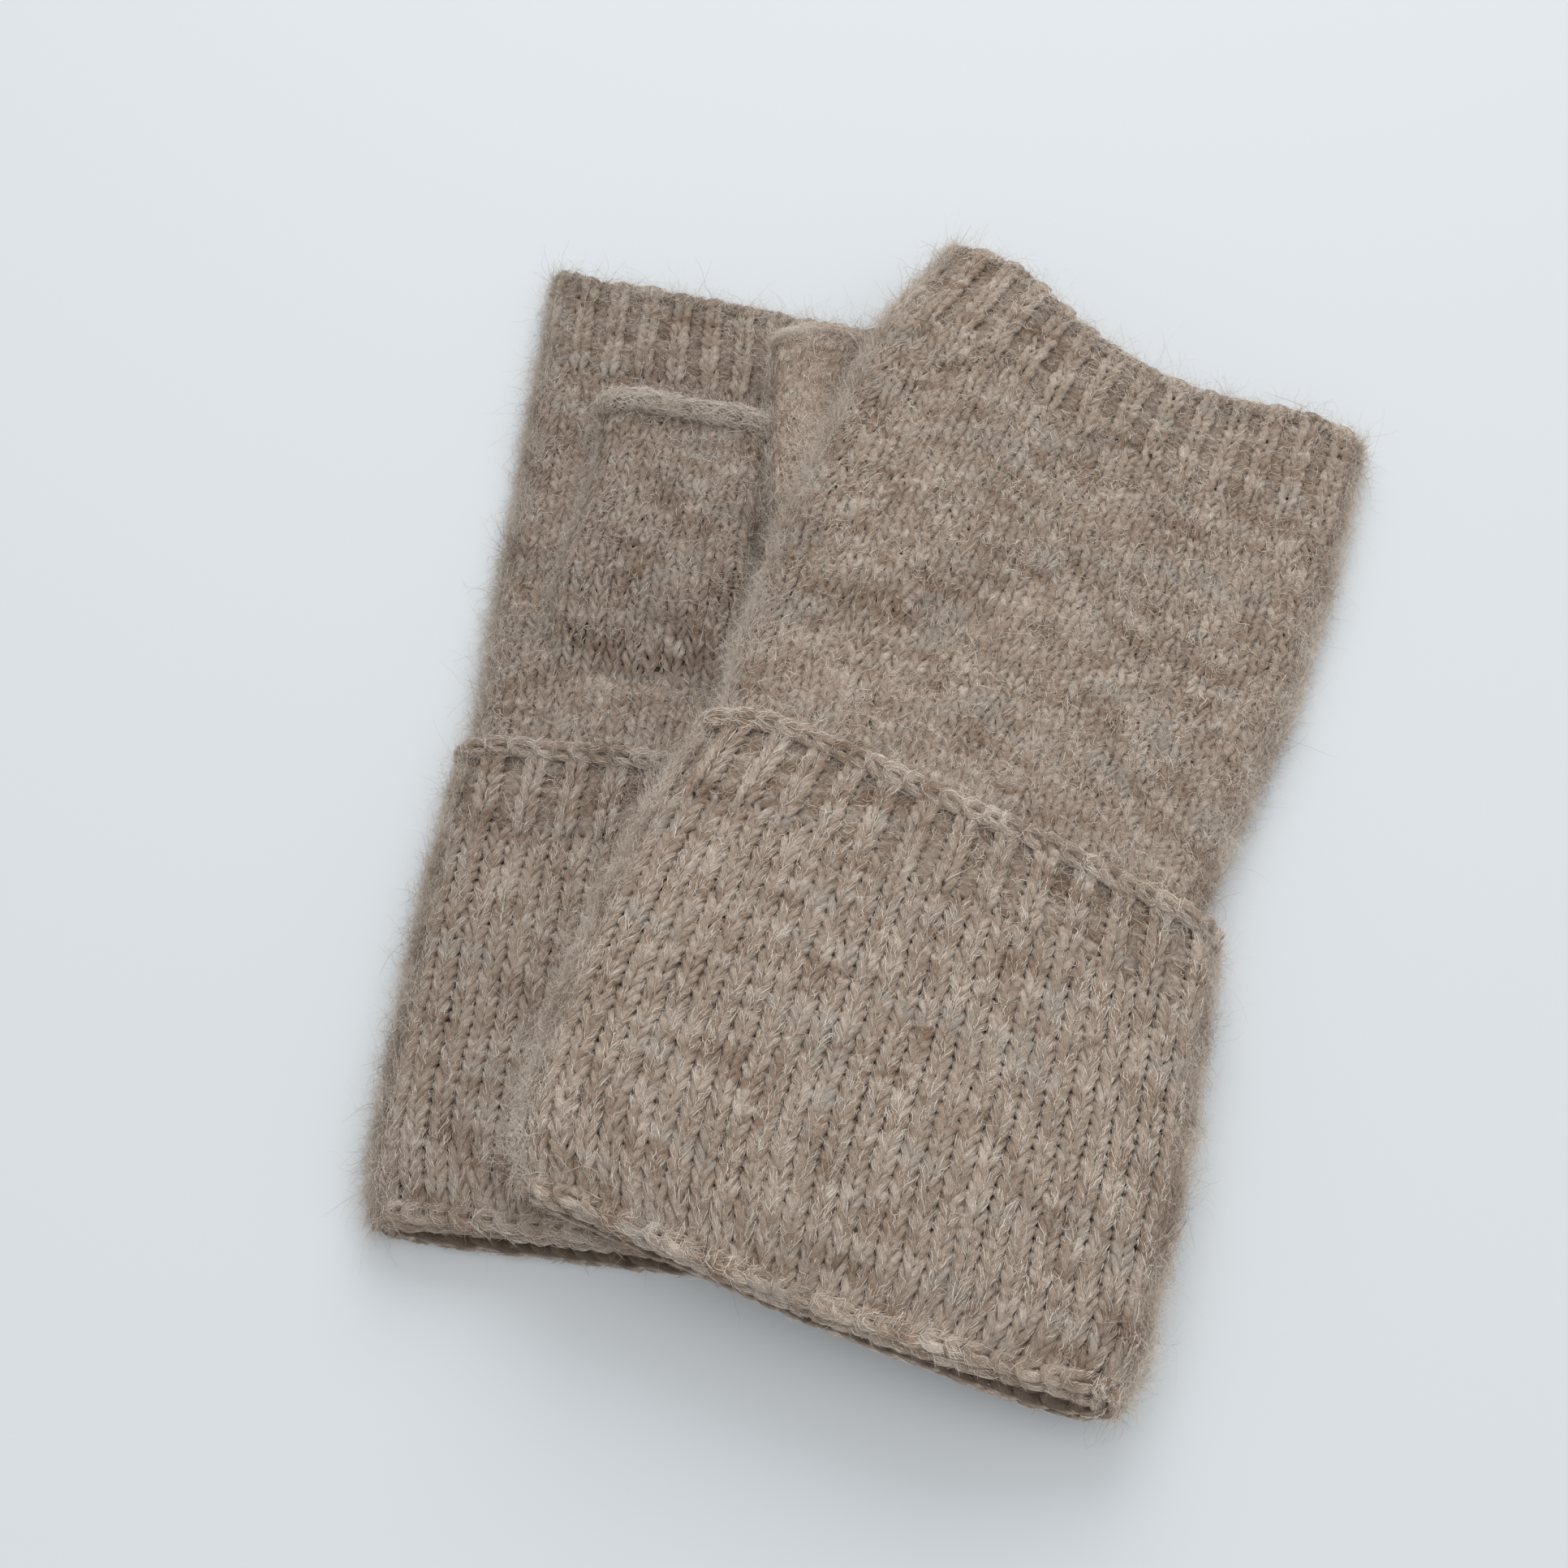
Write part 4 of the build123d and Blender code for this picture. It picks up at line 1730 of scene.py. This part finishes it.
@dataclass(frozen=True)
class Studio:
    """Camera, pale table and soft light.

    stand and target are places measured from the left glove's hem.
    """

    layout: Layout
    target: tuple[float, float] = (9.3, 91.8)
    stand: tuple[float, float, float] = (25.7, -60.0, 327.5)
    view_angle: float = 45.0

    TABLE_HALF_M = 2.5
    NEAREST_M = 0.01
    AIR = (0.93, 0.97, 1.0, 1.0)
    AIR_STRENGTH = 0.45

    def camera(self) -> None:
        """Sets up the camera that looks down on the pair."""
        data = bpy.data.cameras.new("camera")
        data.sensor_fit = "HORIZONTAL"
        data.angle = math.radians(self.view_angle)
        data.clip_start = self.NEAREST_M
        camera = bpy.data.objects.new("camera", data)
        bpy.context.scene.collection.objects.link(camera)
        hem = self.layout.left_hem
        stand = Vector((self.stand[0] + hem[0], self.stand[1] + hem[1], self.stand[2])) * METRES
        target = Vector((self.target[0] + hem[0], self.target[1] + hem[1], 0.0)) * METRES
        camera.location = stand
        camera.rotation_euler = (target - stand).to_track_quat("-Z", "Y").to_euler()
        bpy.context.scene.camera = camera

    def table(self) -> None:
        """Lays out the table."""
        half = self.TABLE_HALF_M
        data = bpy.data.meshes.new("table")
        corners = [(-half, -half, 0.0), (half, -half, 0.0), (half, half, 0.0), (-half, half, 0.0)]
        data.from_pydata(corners, [], [(0, 1, 2, 3)])
        data.materials.append(TableFinish().material())
        table = bpy.data.objects.new("table", data)
        bpy.context.scene.collection.objects.link(table)

    def world(self) -> None:
        """Sets the pale surroundings."""
        world = bpy.data.worlds.new("studio")
        world.use_nodes = True
        background = world.node_tree.nodes["Background"]
        background.inputs["Color"].default_value = self.AIR
        background.inputs["Strength"].default_value = self.AIR_STRENGTH
        bpy.context.scene.world = world

    def build(self) -> None:
        """Builds the studio."""
        self.camera()
        self.table()
        WINDOW.hang()
        CEILING.hang()
        self.world()
        bpy.context.scene.view_settings.view_transform = "Standard"


LEFT_CUT = Cut(
    cuff_left=Line(
        (-6.0, -48.0), (0.0, -50.3), (4.0, -51.2), (36.0, -52.2), (76.0, -51.3), (90.0, -50.2)
    ),
    cuff_right=Line((-6.0, 51.0), (40.0, 52.0), (90.0, 49.0)),
    hand_left=Line((60.0, -49.0), (94.0, -48.9), (112.0, -50.0), (150.0, -50.6), (210.0, -51.6)),
    hand_right=Line((60.0, 49.0), (125.0, 50.0), (160.0, 45.5), (210.0, 40.0)),
    hem=Line((-60.0, 2.2), (60.0, 2.2)),
    slip=Line((-60.0, 1.0), (-30.0, 1.8), (60.0, 1.8)),
    cuff_top=Line((-60.0, 88.0), (-38.0, 88.6), (60.0, 87.4)),
    finger_top=Line(
        (-60.0, 203.9), (-50.0, 203.4), (-43.5, 201.0), (-31.0, 200.6), (-13.6, 198.4),
        (4.0, 195.6), (60.0, 192.0)
    ),
)
RIGHT_CUT = Cut(
    cuff_left=Line(
        (-6.0, -50.5), (0.0, -52.0), (7.0, -55.2), (20.0, -56.9), (48.0, -56.9), (70.0, -54.8),
        (90.0, -50.8)
    ),
    cuff_right=Line(
        (-6.0, 46.0), (0.0, 49.4), (5.0, 51.2), (18.0, 50.7), (39.0, 50.4), (61.0, 48.3),
        (78.0, 46.6), (90.0, 44.6)
    ),
    hand_left=Line(
        (60.0, -48.0), (95.0, -50.0), (105.0, -51.9), (123.0, -51.8), (154.0, -50.9),
        (165.0, -50.0), (176.0, -49.0), (185.0, -47.7), (198.0, -43.9), (214.0, -40.4)
    ),
    hand_right=Line(
        (60.0, 43.0), (92.0, 42.8), (102.0, 44.6), (117.0, 46.8), (140.0, 50.0), (169.0, 50.8),
        (200.0, 50.4)
    ),
    hem=Line(
        (-60.0, 4.0), (-54.0, 2.6), (-49.0, 0.8), (-43.0, 0.3), (43.0, 0.3), (48.0, 1.4), (54.0, 4.0)
    ),
    slip=Line((-60.0, 0.6), (0.0, 0.6), (20.0, 1.4), (40.0, 3.0), (60.0, 1.6)),
    cuff_top=Line(
        (-60.0, 86.6), (-52.0, 88.0), (-38.7, 90.2), (-24.5, 88.8), (-8.5, 86.2), (15.0, 84.0),
        (37.0, 83.2), (60.0, 80.5)
    ),
    finger_top=Line(
        (-52.0, 211.0), (-41.4, 209.5), (-28.9, 207.2), (-19.0, 203.8), (-10.7, 200.2), (-3.0, 198.2),
        (5.8, 197.7), (19.4, 199.0), (36.6, 200.4), (60.0, 198.4)
    ),
)


def main() -> None:
    """Builds the pair, the thumbs and the studio, in order."""
    logging.basicConfig(level=logging.INFO, format="%(name)s %(message)s")
    layout = Layout.read()
    left_wool = Wardrobe(Side.LEFT, depth=0.86)
    right_wool = Wardrobe(Side.RIGHT, depth=1.0)
    Studio(layout).build()
    left = Glove(
        side=Side.LEFT,
        layout=layout,
        wardrobe=left_wool,
        origin=np.zeros(2),
        lean=0.0,
        cut=LEFT_CUT,
        cuff_body="left_glove",
        hand_body="left_glove",
        seed=100,
    )
    right = Glove(
        side=Side.RIGHT,
        layout=layout,
        wardrobe=right_wool,
        origin=layout.right_hem,
        lean=layout.right_lean,
        cut=RIGHT_CUT,
        cuff_body="right_glove",
        hand_body="right_hand",
        seed=300,
    )
    left_thumb = Thumb(
        side=Side.LEFT,
        layout=layout,
        wardrobe=left_wool,
        origin=layout.left_thumb,
        lean=0.0,
        left=Line((-30.0, -20.5), (3.0, -20.0), (9.5, -18.6), (20.0, -17.2), (40.0, -17.0)),
        right=Line((-30.0, 16.6), (0.0, 16.0), (22.0, 15.8), (40.0, 15.0)),
        tip=Line((-20.0, 38.9), (-10.0, 39.2), (0.0, 37.8), (18.0, 36.6)),
        centre=Line((-30.0, 2.5), (-20.0, 6.0), (-8.0, 10.6), (4.0, 12.2), (40.0, 12.3)),
        roll=Roll(wraps=34, radius=1.6, yarn=Yarn(0.95, unevenness=0.3), lift=0.7),
        hand_body="left_glove",
        thumb_body="left_thumb",
        seed=500,
    )
    right_thumb = Thumb(
        side=Side.RIGHT,
        layout=layout,
        wardrobe=right_wool,
        origin=layout.right_thumb,
        lean=layout.RIGHT_THUMB_LEAN,
        left=Line((-30.0, -16.5), (-8.0, -15.6), (3.0, -16.1), (15.0, -16.0), (40.0, -15.3)),
        right=Line(
            (-30.0, 17.0), (0.0, 15.5), (8.0, 9.0), (14.0, 2.5), (20.0, -2.2), (25.0, -2.6),
            (31.0, -0.4), (40.0, 3.6)
        ),
        tip=Line((-20.0, 38.2), (-11.0, 40.2), (-4.0, 40.4), (6.0, 38.4), (18.0, 37.0)),
        centre=Line(
            (-30.0, 15.5), (-15.0, 17.2), (-5.0, 17.6), (5.0, 15.9), (15.0, 13.9), (40.0, 12.9)
        ),
        roll=Roll(wraps=40, radius=0.5, yarn=Yarn(0.6, unevenness=0.15), lift=-0.1),
        hand_body="right_hand",
        thumb_body="right_thumb",
        seed=700,
    )
    for assembly in (left, right, left_thumb, right_thumb):
        assembly.build()
        LOG.info("%s %s is built", assembly.side.value, type(assembly).__name__.lower())


if __name__ == "__main__":
    main()
